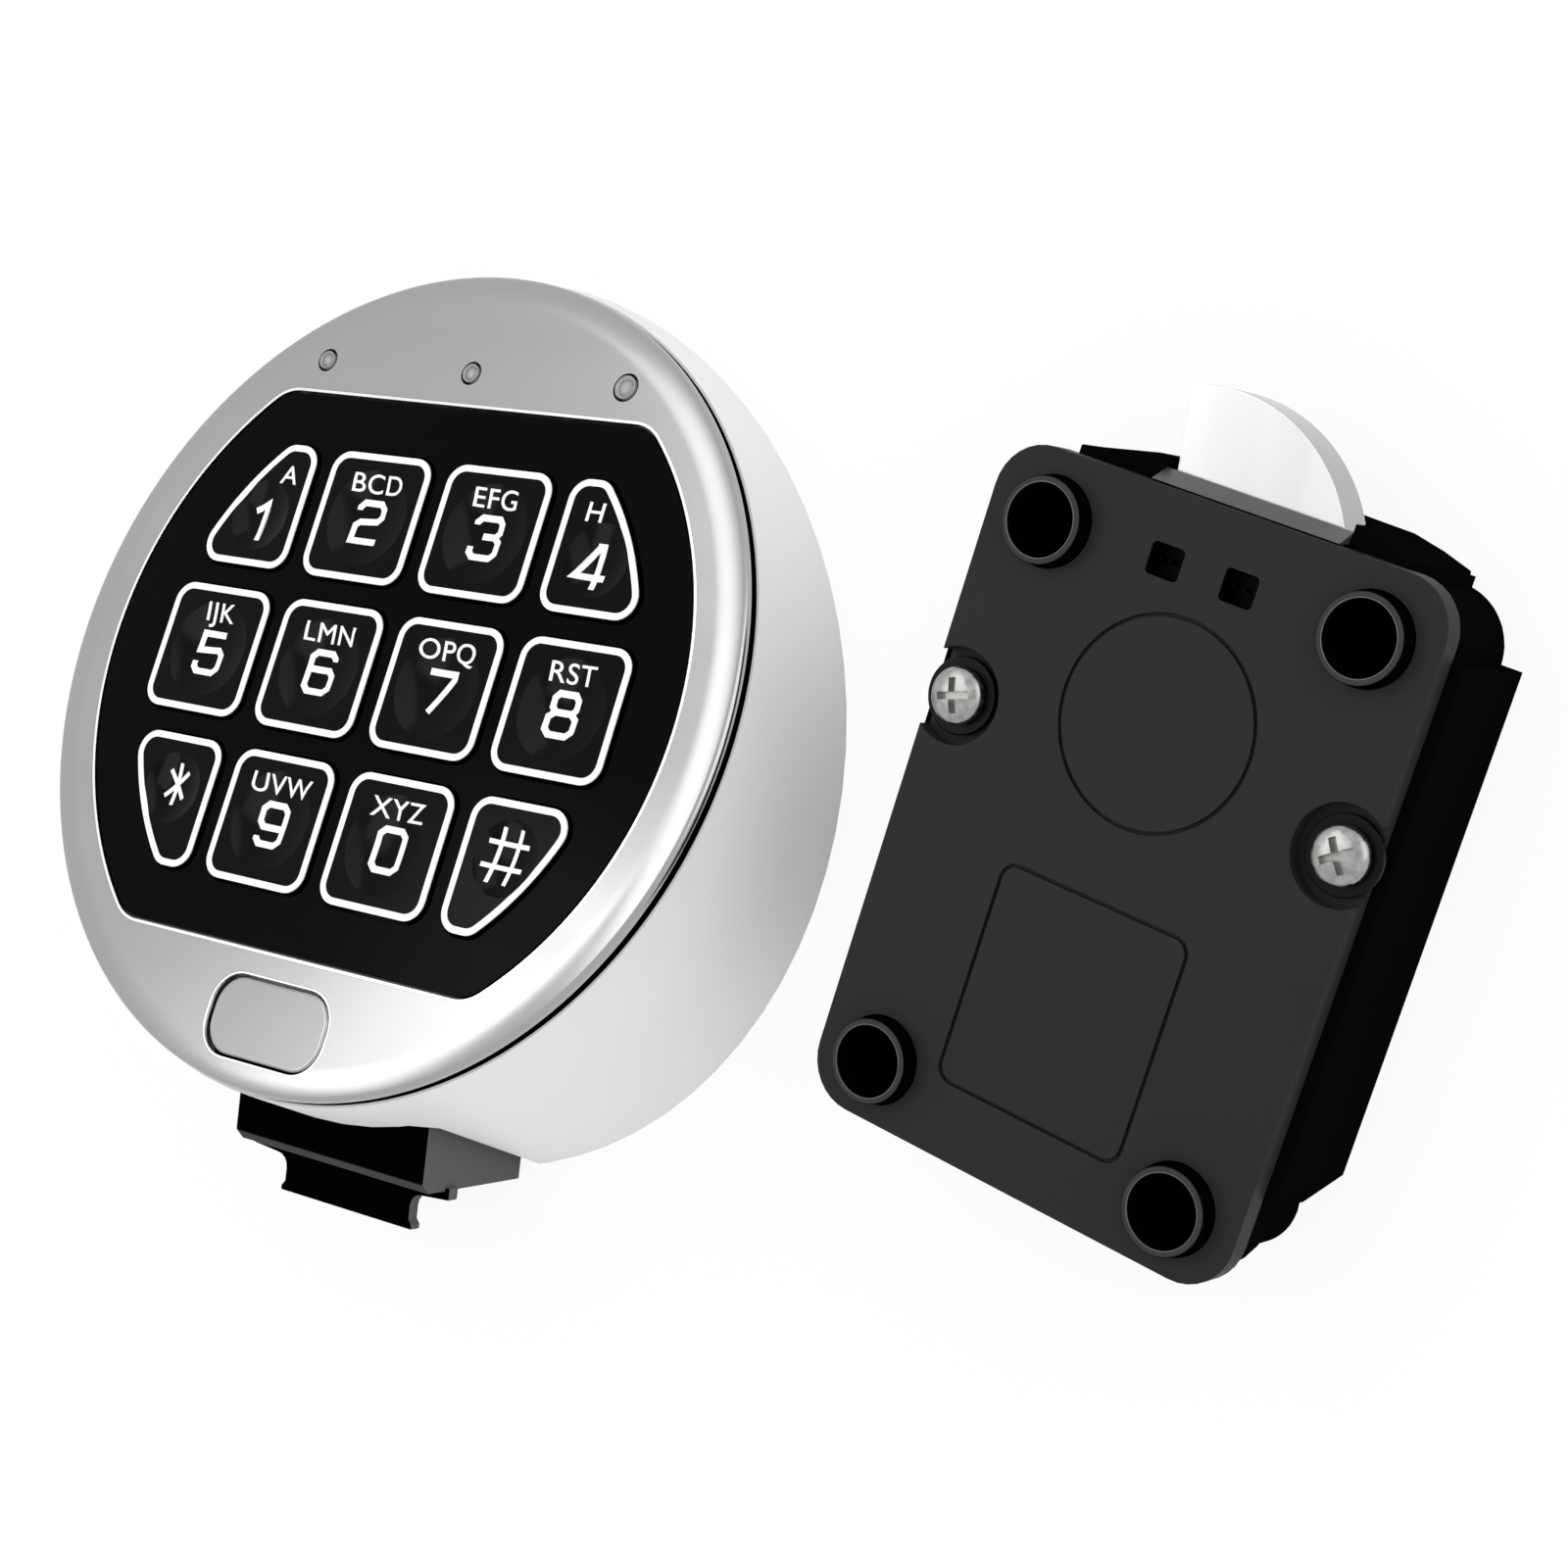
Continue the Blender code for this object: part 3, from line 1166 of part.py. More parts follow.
def bolt_outline():
    """The bolt seen from the cover, round its pin: spiral heel, full arc, straight side and hub."""
    along = Vector((math.cos(BOLT_SIDE_ANGLE), math.sin(BOLT_SIDE_ANGLE)))
    outward = Vector((-along.y, along.x))
    reach = math.sqrt(BOLT_RADIUS ** 2 - BOLT_SIDE_OFFSET ** 2)
    tip = along * reach + outward * BOLT_SIDE_OFFSET
    points = []
    for step in range(CORNER_FLATS + 1):
        share = step / CORNER_FLATS
        angle = BOLT_HEEL_ANGLE + (BOLT_FULL_ANGLE - BOLT_HEEL_ANGLE) * share
        radius = BOLT_HEEL_RADIUS + (BOLT_RADIUS - BOLT_HEEL_RADIUS) * share
        points.append((radius * math.cos(angle), radius * math.sin(angle)))
    points += arc(BOLT_RADIUS, BOLT_FULL_ANGLE, math.atan2(tip.y, tip.x), BOLT_ARC_FLATS)[1:]
    hub_start = BOLT_SIDE_ANGLE + QUARTER_TURN - math.acos(BOLT_SIDE_OFFSET / BOLT_HUB_RADIUS)
    points += arc(BOLT_HUB_RADIUS, hub_start, BOLT_HUB_END, SMALL_FLATS)
    return points


def make_swing_bolt():
    bore = circle(BOLT_PIN_RADIUS + CLEARANCE, HOLE_FLATS)
    mesh = plate_mesh("swing_bolt", [bolt_outline(), bore], BOLT_BOTTOM, BOLT_TOP)
    add_part("swing_bolt", mesh, bolt_pivot, polished_steel)


def make_bolt_pin():
    pin = (BOLT_PIN_RADIUS, CASE_FLOOR + CLEARANCE, LOCK_BOARD_BOTTOM - CLEARANCE, HOLE_FLATS)
    add_part("bolt_pin", cylinder_mesh("bolt_pin", pin), lock_base, zinc_steel, (BOLT_X, BOLT_Y, 0.0))


def make_bolt_spring():
    """A torsion spring with a leg at each end, as one unbroken wire."""
    points = []
    for step in range(SPRING_TURNS * SPRING_STEPS + 1):
        angle = math.tau * step / SPRING_STEPS - QUARTER_TURN
        height = SPRING_BOTTOM + SPRING_PITCH * step / SPRING_STEPS
        points.append((SPRING_RADIUS * math.cos(angle), SPRING_RADIUS * math.sin(angle), height))
    first = (-SPRING_LEG, -SPRING_RADIUS, SPRING_BOTTOM)
    last = (SPRING_LEG, -SPRING_RADIUS, points[-1][2])
    points = [first] + points + [last]
    curve = bpy.data.curves.new("bolt_spring", "CURVE")
    curve.dimensions = "3D"
    curve.bevel_depth = SPRING_WIRE
    curve.bevel_resolution = 1
    curve.use_fill_caps = True
    spline = curve.splines.new("POLY")
    spline.points.add(len(points) - 1)
    for point, place in zip(spline.points, points):
        point.co = (*place, 1.0)
    wire = bpy.data.objects.new("bolt_spring_wire", curve)
    cutters_collection.objects.link(wire)
    bpy.context.view_layer.update()
    graph = bpy.context.evaluated_depsgraph_get()
    mesh = bpy.data.meshes.new_from_object(wire.evaluated_get(graph))
    bpy.data.objects.remove(wire)
    spot = (BOLT_X, BOLT_Y, 0.0)
    add_part("bolt_spring", welded(mesh), lock_base, zinc_steel, spot)


def lever_outline():
    """The lever round its pin: a long arm to the tip, and a short arm that ends in an open slot."""
    tip = Vector((LEVER_TIP_X - LEVER_X, LEVER_TIP_Y - LEVER_Y))
    along = tip.normalized()
    sideways = Vector((-along.y, along.x)) * LEVER_ARM_HALF_WIDTH
    start = math.atan2(along.y, along.x)
    tip_end = arc(
        LEVER_TIP_RADIUS, start - QUARTER_TURN, start + QUARTER_TURN, CORNER_FLATS, tip.x, tip.y
    )
    left_root = along * LEVER_HUB_RADIUS + sideways
    right_root = along * LEVER_HUB_RADIUS - sideways
    slot_top = SOLENOID_Y - LEVER_Y + PLUNGER_PIN_RADIUS + CLEARANCE
    slot = FORK_SLOT_HALF_WIDTH
    shoulder = -LEVER_HUB_RADIUS / 2
    return [
        (-FORK_HALF_WIDTH, -FORK_LENGTH),
        (-slot, -FORK_LENGTH),
        (-slot, slot_top),
        (slot, slot_top),
        (slot, -FORK_LENGTH),
        (FORK_HALF_WIDTH, -FORK_LENGTH),
        (FORK_HALF_WIDTH, shoulder),
        (LEVER_HUB_RADIUS, 0.0),
        tuple(right_root),
        *tip_end,
        tuple(left_root),
        (-LEVER_HUB_RADIUS, 0.0),
        (-FORK_HALF_WIDTH, shoulder),
    ]


def make_locking_lever():
    pin_hole = circle(LEVER_PIN_RADIUS + CLEARANCE, SMALL_FLATS)
    top = LEVER_BOTTOM + LEVER_THICKNESS
    mesh = plate_mesh("locking_lever", [lever_outline(), pin_hole], LEVER_BOTTOM, top)
    add_part("locking_lever", mesh, lever_pivot, sheet_steel)
    pin = cylinder_mesh("lever_pin", (LEVER_PIN_RADIUS, CASE_FLOOR + CLEARANCE, LEVER_PIN_TOP, SMALL_FLATS))
    add_part("lever_pin", pin, lock_base, zinc_steel, (LEVER_X, LEVER_Y, 0.0))


def make_solenoid_coil():
    """Winding between two flanges, round the bore for the plunger."""
    end = COIL_LENGTH
    profile = [
        (COIL_BORE, end),
        (FLANGE_RADIUS, end),
        (FLANGE_RADIUS, end - FLANGE_THICKNESS),
        (COIL_RADIUS, end - FLANGE_THICKNESS),
        (COIL_RADIUS, FLANGE_THICKNESS),
        (FLANGE_RADIUS, FLANGE_THICKNESS),
        (FLANGE_RADIUS, 0.0),
        (COIL_BORE, 0.0),
    ]
    mesh = profile_mesh("solenoid_coil", profile, closed=True)
    spot = (COIL_LEFT, SOLENOID_Y, SOLENOID_AXIS)
    turn_profile(add_part("solenoid_coil", mesh, lock_base, copper_winding, spot, LENGTHWAYS), HOLE_FLATS)


def make_solenoid_bracket():
    """A U of sheet steel: a floor under the coil and an upright at each end."""
    left = COIL_LEFT - CLEARANCE - BRACKET_THICKNESS
    right = COIL_LEFT + COIL_LENGTH + CLEARANCE + BRACKET_THICKNESS
    low, high = SOLENOID_Y - BRACKET_HALF_WIDTH, SOLENOID_Y + BRACKET_HALF_WIDTH
    bottom = CASE_FLOOR + CLEARANCE
    block = box_mesh("solenoid_bracket", (left, right, low, high, bottom, BRACKET_TOP))
    bracket = add_part("solenoid_bracket", block, lock_base, sheet_steel)
    room_floor = SOLENOID_AXIS - FLANGE_RADIUS - CLEARANCE
    inner_left, inner_right = left + BRACKET_THICKNESS, right - BRACKET_THICKNESS
    sides = (inner_left, inner_right, low - OVERRUN, high + OVERRUN)
    cut(bracket, box_mesh("bracket_room", (*sides, room_floor, BRACKET_TOP + OVERRUN)), lock_base)
    hole = cylinder_mesh("bracket_hole", (COIL_BORE, -OVERRUN, OVERRUN, SMALL_FLATS))
    cut(bracket, hole, lock_base, (right, SOLENOID_Y, SOLENOID_AXIS), LENGTHWAYS)


def make_plunger():
    rod = cylinder_mesh("solenoid_plunger", (PLUNGER_RADIUS, 0.0, PLUNGER_RIGHT - PLUNGER_LEFT, SMALL_FLATS))
    spot = (PLUNGER_LEFT, SOLENOID_Y, SOLENOID_AXIS)
    plunger = add_part("solenoid_plunger", rod, lock_base, zinc_steel, spot, LENGTHWAYS)
    pin = cylinder_mesh("plunger_pin", (PLUNGER_PIN_RADIUS, SOLENOID_AXIS, PLUNGER_PIN_TOP, SMALL_FLATS))
    join(plunger, pin, lock_base, (LEVER_X, SOLENOID_Y, 0.0))


def make_lock_board():
    outline = [
        (-LOCK_BOARD_HALF_WIDTH, LOCK_BOARD_LOW),
        (LOCK_BOARD_HALF_WIDTH, LOCK_BOARD_LOW),
        (LOCK_BOARD_HALF_WIDTH, LOCK_BOARD_HIGH),
        (LOCK_BOARD_NECK_HALF_WIDTH, LOCK_BOARD_HIGH),
        (LOCK_BOARD_NECK_HALF_WIDTH, LOCK_BOARD_NECK_HIGH),
        (-LOCK_BOARD_NECK_HALF_WIDTH, LOCK_BOARD_NECK_HIGH),
        (-LOCK_BOARD_NECK_HALF_WIDTH, LOCK_BOARD_HIGH),
        (-LOCK_BOARD_HALF_WIDTH, LOCK_BOARD_HIGH),
    ]
    mesh = plate_mesh("lock_board", [outline], LOCK_BOARD_BOTTOM, LOCK_BOARD_TOP)
    add_part("lock_board", mesh, lock_base, circuit_green)


def socket_sides(x, margin):
    half_x = SOCKET_OPENING_HALF_X + margin
    half_y = SOCKET_OPENING_HALF_Y + margin
    return x - half_x, x + half_x, SOCKET_Y - half_y, SOCKET_Y + half_y


def make_sockets():
    bottom = LOCK_BOARD_TOP + CLEARANCE
    floor_top = bottom + SOCKET_FLOOR
    for name, x in (("socket_left", LEFT_SOCKET_X), ("socket_right", RIGHT_SOCKET_X)):
        body = box_mesh(name, (*socket_sides(x, SOCKET_WALL), bottom, SOCKET_TOP))
        socket = add_part(name, body, lock_base, cream_plastic)
        hollow = box_mesh(name + "_hollow", (*socket_sides(x, 0.0), floor_top, SOCKET_TOP + OVERRUN))
        cut(socket, hollow, lock_base)
        span = (bottom + SOCKET_FLOOR / 2, bottom + SOCKET_PIN_RISE)
        pins = [
            (SOCKET_PIN_RADIUS, *span, PIN_FLATS, place, SOCKET_Y)
            for place in (x - SOCKET_PIN_SPACING, x, x + SOCKET_PIN_SPACING)
        ]
        join(socket, cylinder_mesh(name + "_pins", *pins), lock_base)


def add_empty(name, parent, location, rotation=(0.0, 0.0, 0.0)):
    empty = bpy.data.objects.new(name, None)
    parts_collection.objects.link(empty)
    empty.parent = parent
    empty.location = location
    empty.rotation_euler = rotation
    return empty


for old in list(bpy.data.objects):
    bpy.data.objects.remove(old)

parts_collection = new_collection("electronic_safe_lock")
cutters_collection = new_collection("cutters")

# A plate's thickness turned to run along -Y, and a turned shape's axis turned to run along +X
UPRIGHT = (QUARTER_TURN, 0.0, 0.0)
LENGTHWAYS = (0.0, QUARTER_TURN, 0.0)

silver_paint = new_material("silver_paint", SILVER_PAINT, 0.45, 0.2)
brushed_aluminium = new_material("brushed_aluminium", BRUSHED_SILVER, 0.35, 1.0)
gloss_black = new_material("gloss_black_panel", GLOSS_BLACK, 0.12)
key_plastic = new_material("gloss_black_key", KEY_BLACK, 0.10)
lens_plastic = new_material("indicator_lens", LENS_GREY, 0.2)
black_rubber = new_material("black_rubber", RUBBER_BLACK, 0.8)
circuit_green = new_material("green_circuit_board", BOARD_GREEN, 0.4)
zinc_steel = new_material("zinc_plated_steel", ZINC, 0.3, 1.0)
sheet_steel = new_material("sheet_steel", PLATE_STEEL, 0.4, 1.0)
black_plastic = new_material("black_plastic", TAB_BLACK, 0.4)
battery_sleeve = new_material("battery_sleeve", BATTERY_GREY, 0.35)
charcoal_metal = new_material("charcoal_metal", CHARCOAL, 0.55)
black_sleeve = new_material("black_sleeve", SLEEVE_BLACK, 0.35)
polished_steel = new_material("polished_steel", POLISHED_STEEL, 0.15, 1.0)
copper_winding = new_material("copper_winding", COPPER_BROWN, 0.4, 0.6)
cream_plastic = new_material("cream_plastic", SOCKET_CREAM, 0.5)

face_in_base = Matrix.Translation((0.0, FACE_FORWARD, FACE_HEIGHT)) @ Matrix.Rotation(-FACE_SLOPE, 4, "X")
keypad_base = add_empty("keypad_base", None, (KEYPAD_X, KEYPAD_Y, 0.0))
keypad_face = add_empty("keypad_face", keypad_base, (0.0, FACE_FORWARD, FACE_HEIGHT), (-FACE_SLOPE, 0.0, 0.0))
carrier_slide = add_empty("carrier_slide", keypad_base, (0.0, 0.0, 0.0))
lock_place = (KEYPAD_X + LOCK_FROM_KEYPAD_X, KEYPAD_Y + LOCK_FROM_KEYPAD_Y, 0.0)
lock_base = add_empty("lock_base", None, lock_place, (0.0, 0.0, LOCK_YAW))
bolt_pivot = add_empty("bolt_pivot", lock_base, (BOLT_X, BOLT_Y, 0.0))
lever_pivot = add_empty("lever_pivot", lock_base, (LEVER_X, LEVER_Y, 0.0))

make_housing()
make_face_ring()
make_oval_pad()
make_panel()
make_keys()
make_indicators()
make_key_mat()
make_keypad_board()
make_board_screws()
make_sounder()
make_keypad_socket()
make_base_plate()
make_base_screws()
make_battery()
make_battery_contacts()
make_battery_carrier()

make_case()
make_cover()
make_sleeves()
make_cover_screws()
make_swing_bolt()
make_bolt_pin()
make_bolt_spring()
make_locking_lever()
make_solenoid_coil()
make_solenoid_bracket()
make_plunger()
make_lock_board()
make_sockets()
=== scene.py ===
"""Looks of an electronic safe lock: a round sloping keypad with a battery drawer, and a lock body with a swing bolt."""

import math

import bmesh
import bpy
from bpy.props import FloatProperty, FloatVectorProperty, IntProperty, PointerProperty
from mathutils import Matrix, Vector


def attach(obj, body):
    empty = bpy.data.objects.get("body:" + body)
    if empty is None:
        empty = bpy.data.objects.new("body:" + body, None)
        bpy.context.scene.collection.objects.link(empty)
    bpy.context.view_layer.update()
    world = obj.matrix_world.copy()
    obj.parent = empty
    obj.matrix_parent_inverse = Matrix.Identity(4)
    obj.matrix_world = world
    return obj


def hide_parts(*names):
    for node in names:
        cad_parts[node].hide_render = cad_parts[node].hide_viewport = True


bl_info = {
    "name": "Electronic safe lock",
    "version": (1, 0, 0),
    "blender": (4, 5, 0),
    "location": "3D View > Sidebar > Safe lock",
    "description": "Dresses the solids of a safe keypad and its lock body with their visible pieces and finishes",
    "category": "Add Mesh",
}

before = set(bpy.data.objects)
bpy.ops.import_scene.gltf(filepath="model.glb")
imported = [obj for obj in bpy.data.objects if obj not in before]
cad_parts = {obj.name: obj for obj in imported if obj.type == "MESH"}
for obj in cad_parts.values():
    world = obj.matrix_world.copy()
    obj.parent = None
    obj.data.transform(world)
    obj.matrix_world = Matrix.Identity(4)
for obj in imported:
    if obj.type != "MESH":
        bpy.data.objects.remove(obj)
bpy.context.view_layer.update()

MM = 0.001
WELD = 0.000002
OVERRUN = 0.002
QUARTER = math.pi / 2
ROUND_FLATS = 96
RIM_FLATS = 192
CORNER_FLATS = 8

# The keys as they stand: body, mark, small letters, column and row
KEYS = (
    ("key_1", "1", "A", 0, 0),
    ("key_2", "2", "BCD", 1, 0),
    ("key_3", "3", "EFG", 2, 0),
    ("key_4", "4", "H", 3, 0),
    ("key_5", "5", "IJK", 0, 1),
    ("key_6", "6", "LMN", 1, 1),
    ("key_7", "7", "OPQ", 2, 1),
    ("key_8", "8", "RST", 3, 1),
    ("key_star", "*", "", 0, 2),
    ("key_9", "9", "UVW", 1, 2),
    ("key_0", "0", "XYZ", 2, 2),
    ("key_hash", "#", "", 3, 2),
)

# Strokes of the squared-off marks: each is closed or open, then its points as shares of a mark's width and height
MARK_STROKE_SHARES = {
    "0": [(True, (0.18, 1), (0.82, 1), (1, 0.87), (1, 0.13), (0.82, 0), (0.18, 0), (0, 0.13), (0, 0.87))],
    "1": [(False, (0.16, 0.78), (0.34, 0.86), (0.6, 1), (0.6, 0))],
    "2": [
        (False, (0, 0.8), (0, 0.87), (0.16, 1), (0.84, 1), (1, 0.87), (1, 0.66), (0.84, 0.54),
         (0.16, 0.5), (0, 0.4), (0, 0), (1.04, 0)),
    ],
    "3": [
        (False, (0, 0.82), (0, 0.88), (0.16, 1), (0.84, 1), (0.97, 0.88), (0.97, 0.66), (0.82, 0.54), (0.34, 0.54)),
        (False, (0.82, 0.54), (1, 0.42), (1, 0.13), (0.84, 0), (0.16, 0), (0, 0.12), (0, 0.26)),
    ],
    "4": [
        (False, (1.06, 0.24), (-0.04, 0.24), (0.62, 1.02)),
        (False, (0.5, 1), (0.84, 1)),
        (False, (0.74, 1.07), (0.74, -0.06)),
    ],
    "5": [
        (False, (0.98, 1), (0.06, 1), (0.02, 0.56), (0.84, 0.6), (1, 0.48), (1, 0.13), (0.84, 0), (0.16, 0),
         (0, 0.12), (0, 0.26)),
    ],
    "6": [
        (False, (0.96, 0.82), (0.96, 0.88), (0.8, 1), (0.18, 1), (0, 0.87), (0, 0.13), (0.18, 0), (0.82, 0),
         (1, 0.13), (1, 0.44), (0.84, 0.57), (0.4, 0.57)),
        (False, (0.5, 0.57), (0, 0.57)),
    ],
    "7": [(False, (0, 1), (1, 1), (1, 0.88), (0.34, 0))],
    "8": [
        (True, (0.2, 1), (0.8, 1), (0.94, 0.88), (0.94, 0.66), (0.8, 0.55), (0.2, 0.55), (0.06, 0.66), (0.06, 0.88)),
        (True, (0.2, 0.55), (0.8, 0.55), (1, 0.42), (1, 0.13), (0.82, 0), (0.18, 0), (0, 0.13), (0, 0.42)),
    ],
    "9": [
        (False, (0.04, 0.18), (0.04, 0.12), (0.2, 0), (0.82, 0), (1, 0.13), (1, 0.87), (0.82, 1), (0.18, 1),
         (0, 0.87), (0, 0.56), (0.16, 0.43), (0.6, 0.43)),
        (False, (0.5, 0.43), (1, 0.43)),
    ],
    "*": [
        (False, (0.5, -0.04), (0.5, 1.04)),
        (False, (0.1, 0.16), (0.9, 0.84)),
        (False, (0.1, 0.84), (0.9, 0.16)),
    ],
    "#": [
        (False, (0.24, -0.04), (0.24, 1.04)),
        (False, (0.76, -0.04), (0.76, 1.04)),
        (False, (-0.1, 0.28), (1.1, 0.28)),
        (False, (-0.1, 0.74), (1.1, 0.74)),
    ],
}

# How far the corner keys' marks and letters are from where the others have them, across and along, in millimetres
CORNER_SHIFTS = {"1": (1.6, -2.0, 4.9, -0.3), "4": (-2.4, -1.9, -4.0, -0.2), "*": (1.9, 2.7), "#": (-2.0, 2.4)}

# Outline of the mouth that stands out round the bolt, on the lock
MOUTH_OUTLINE = [
    (MM * x, MM * y)
    for x, y in ((-21.9, 40.6), (21.2, 40.6), (21.2, 42.3), (17.4, 43.4), (13.4, 44.2), (-11.0, 44.6), (-12.0, 44.5),
                 (-19.0, 43.0), (-21.9, 42.5))
]

# The size of the two signs against the digits, and the width of their strokes against a digit's
SIGN_SHARES = {"*": (1.0, 0.68), "#": (1.24, 0.68)}


def length(name, description, default):
    return FloatProperty(
        name=name, description=description, default=default, unit="LENGTH", subtype="DISTANCE", precision=5
    )


def angle(name, description, default):
    return FloatProperty(
        name=name, description=description, default=math.radians(default), unit="ROTATION", subtype="ANGLE"
    )


def colour(name, description, code):
    return FloatVectorProperty(
        name=name, description=description, default=linear(code), subtype="COLOR", size=4, min=0.0, max=1.0
    )


def linear(code):
    """A six-digit sRGB colour as linear red, green, blue and a full alpha."""
    shades = [int(code[i : i + 2], 16) / 255 for i in (0, 2, 4)]
    return (*(s / 12.92 if s <= 0.04045 else ((s + 0.055) / 1.055) ** 2.4 for s in shades), 1.0)


class KeypadSizes(bpy.types.PropertyGroup):
    """Sizes of the keypad's face, measured from the middle of the sloping face."""

    foot_x: length("Foot X", "Where the keypad's foot stands along X", -0.04347)
    foot_y: length("Foot Y", "Where the keypad's foot stands along Y", 0.00285)
    face_forward: length("Face forward", "How far the face's middle is from the foot's", 0.0065)
    face_height: length("Face height", "Height of the face's middle", 0.0221)
    face_slope: angle("Face slope", "How far the face leans back", 16.5)
    ring_radius: length("Ring radius", "Outer radius of the satin face ring", 0.0575)
    ring_thickness: length("Ring thickness", "Thickness of the face ring", 0.0024)
    ring_edge: length("Ring edge", "Radius of the ring's outer edge", 0.0009)
    crown_start: length("Crown start", "Radius at which the ring starts to fall away to its rim", 0.0531)
    pad_edge: length("Pad edge", "Width of the bright cut edge round the oval pad", 0.0003)
    # The seal is a black band under the ring's rim, a painted shadow for the groove between the ring and the wall
    lip_thickness: length("Lip thickness", "Thickness of the ring's lip over the seal", 0.0016)
    shadow_band_width: length("Seal width", "How far the seal reaches in under the ring", 0.0040)
    shadow_band_bottom: length("Seal bottom", "Height of the seal's underside", -0.0028)
    opening_edge: length("Opening edge", "Width of the bright edge round the ring's openings", 0.00045)
    panel_radius: length("Panel radius", "Radius of the black panel's round sides", 0.0500)
    panel_half_height: length("Panel half height", "Half the height between the panel's straight edges", 0.0387)
    panel_middle: length("Panel middle", "Where the panel's middle is along the face", -0.0005)
    panel_corner: length("Panel corner", "Radius of the panel's corners", 0.006)
    panel_top: length("Panel top", "Height of the panel's top over the ring's", -0.0002)
    panel_bottom: length("Panel bottom", "Height of the panel's underside", -0.0025)
    indicator_spacing: length("Indicator spacing", "Distance between the three indicators", 0.0267)
    indicator_line: length("Indicator line", "Where the indicators are along the face", 0.0430)
    indicator_gap: length("Indicator gap", "Dark gap left round an indicator", 0.0001)
    indicator_radius: length("Indicator radius", "Radius of the two plain indicators", 0.0014)
    wide_indicator_radius: length("Wide indicator radius", "Radius of the right indicator", 0.0017)
    pad_line: length("Pad line", "Where the oval pad is along the face", -0.0483)
    pad_half_width: length("Pad half width", "Half the width of the oval recess", 0.0106)
    pad_half_height: length("Pad half height", "Half the height of the oval recess", 0.0056)
    pad_corner: length("Pad corner", "Corner radius of the oval recess", 0.0046)
    pad_floor: length("Pad floor", "Height of the pad's underside", -0.0013)
    pad_thickness: length("Pad thickness", "Thickness of the oval pad", 0.0010)
    pad_lean: angle("Pad lean", "How far the oval pad slopes down to the left", 1.5)
    gap: length("Gap", "Room left between pieces that meet", 0.0003)


class KeySizes(bpy.types.PropertyGroup):
    """Sizes of the keys and of the white marks on them."""

    pitch_x: length("Column pitch", "Distance between the columns", 0.0212)
    pitch_y: length("Row pitch", "Distance between the rows", 0.0216)
    middle_x: length("Middle X", "Middle of the keys along X", 0.0006)
    middle_y: length("Middle Y", "Middle of the keys along the face", -0.0006)
    half_side: length("Half side", "Half a key's side", 0.0091)
    corner: length("Corner", "Radius of a key's corners", 0.0030)
    trim_radius: length("Trim radius", "Circle that trims the corner keys", 0.0418)
    top: length("Top", "Height of a key's top", 0.0004)
    edge: length("Edge", "Width of a key's rounded edge", 0.0003)
    bottom: length("Bottom", "Height of a key's underside", -0.0035)
    flange_top: length("Flange top", "Height of the top of the flange under the panel", -0.0028)
    flange_reach: length("Flange reach", "How far the flange reaches under the panel", 0.0009)
    dish_radius: length("Dish radius", "Radius of the round dish in a key", 0.0069)
    corner_dish_radius: length("Corner dish radius", "Radius of a corner key's dish", 0.0051)
    corner_dish_shift: length("Corner dish shift", "How far a corner key's dish is nearer the middle", 0.0016)
    dish_depth: length("Dish depth", "Depth of the dishes", 0.0008)
    frame_inset: length("Frame inset", "Distance of the white frame from the key's edge", 0.00005)
    frame_width: length("Frame width", "Width of the white frame line", 0.00092)
    mark_height: length("Mark height", "Height of a digit, between its stroke middles", 0.0055)
    mark_width: length("Mark width", "Width of a digit, between its stroke middles", 0.0044)
    mark_stroke: length("Mark stroke", "Width of a digit's stroke", 0.00092)
    mark_drop: length("Mark drop", "How far a digit is below its key's middle", 0.0005)
    letter_height: length("Letter height", "Height of the small letters", 0.0038)
    letter_rise: length("Letter rise", "How far the letters are above their key's middle", 0.0049)
    print_height: length("Print height", "How far the print stands up from the key", 0.00006)


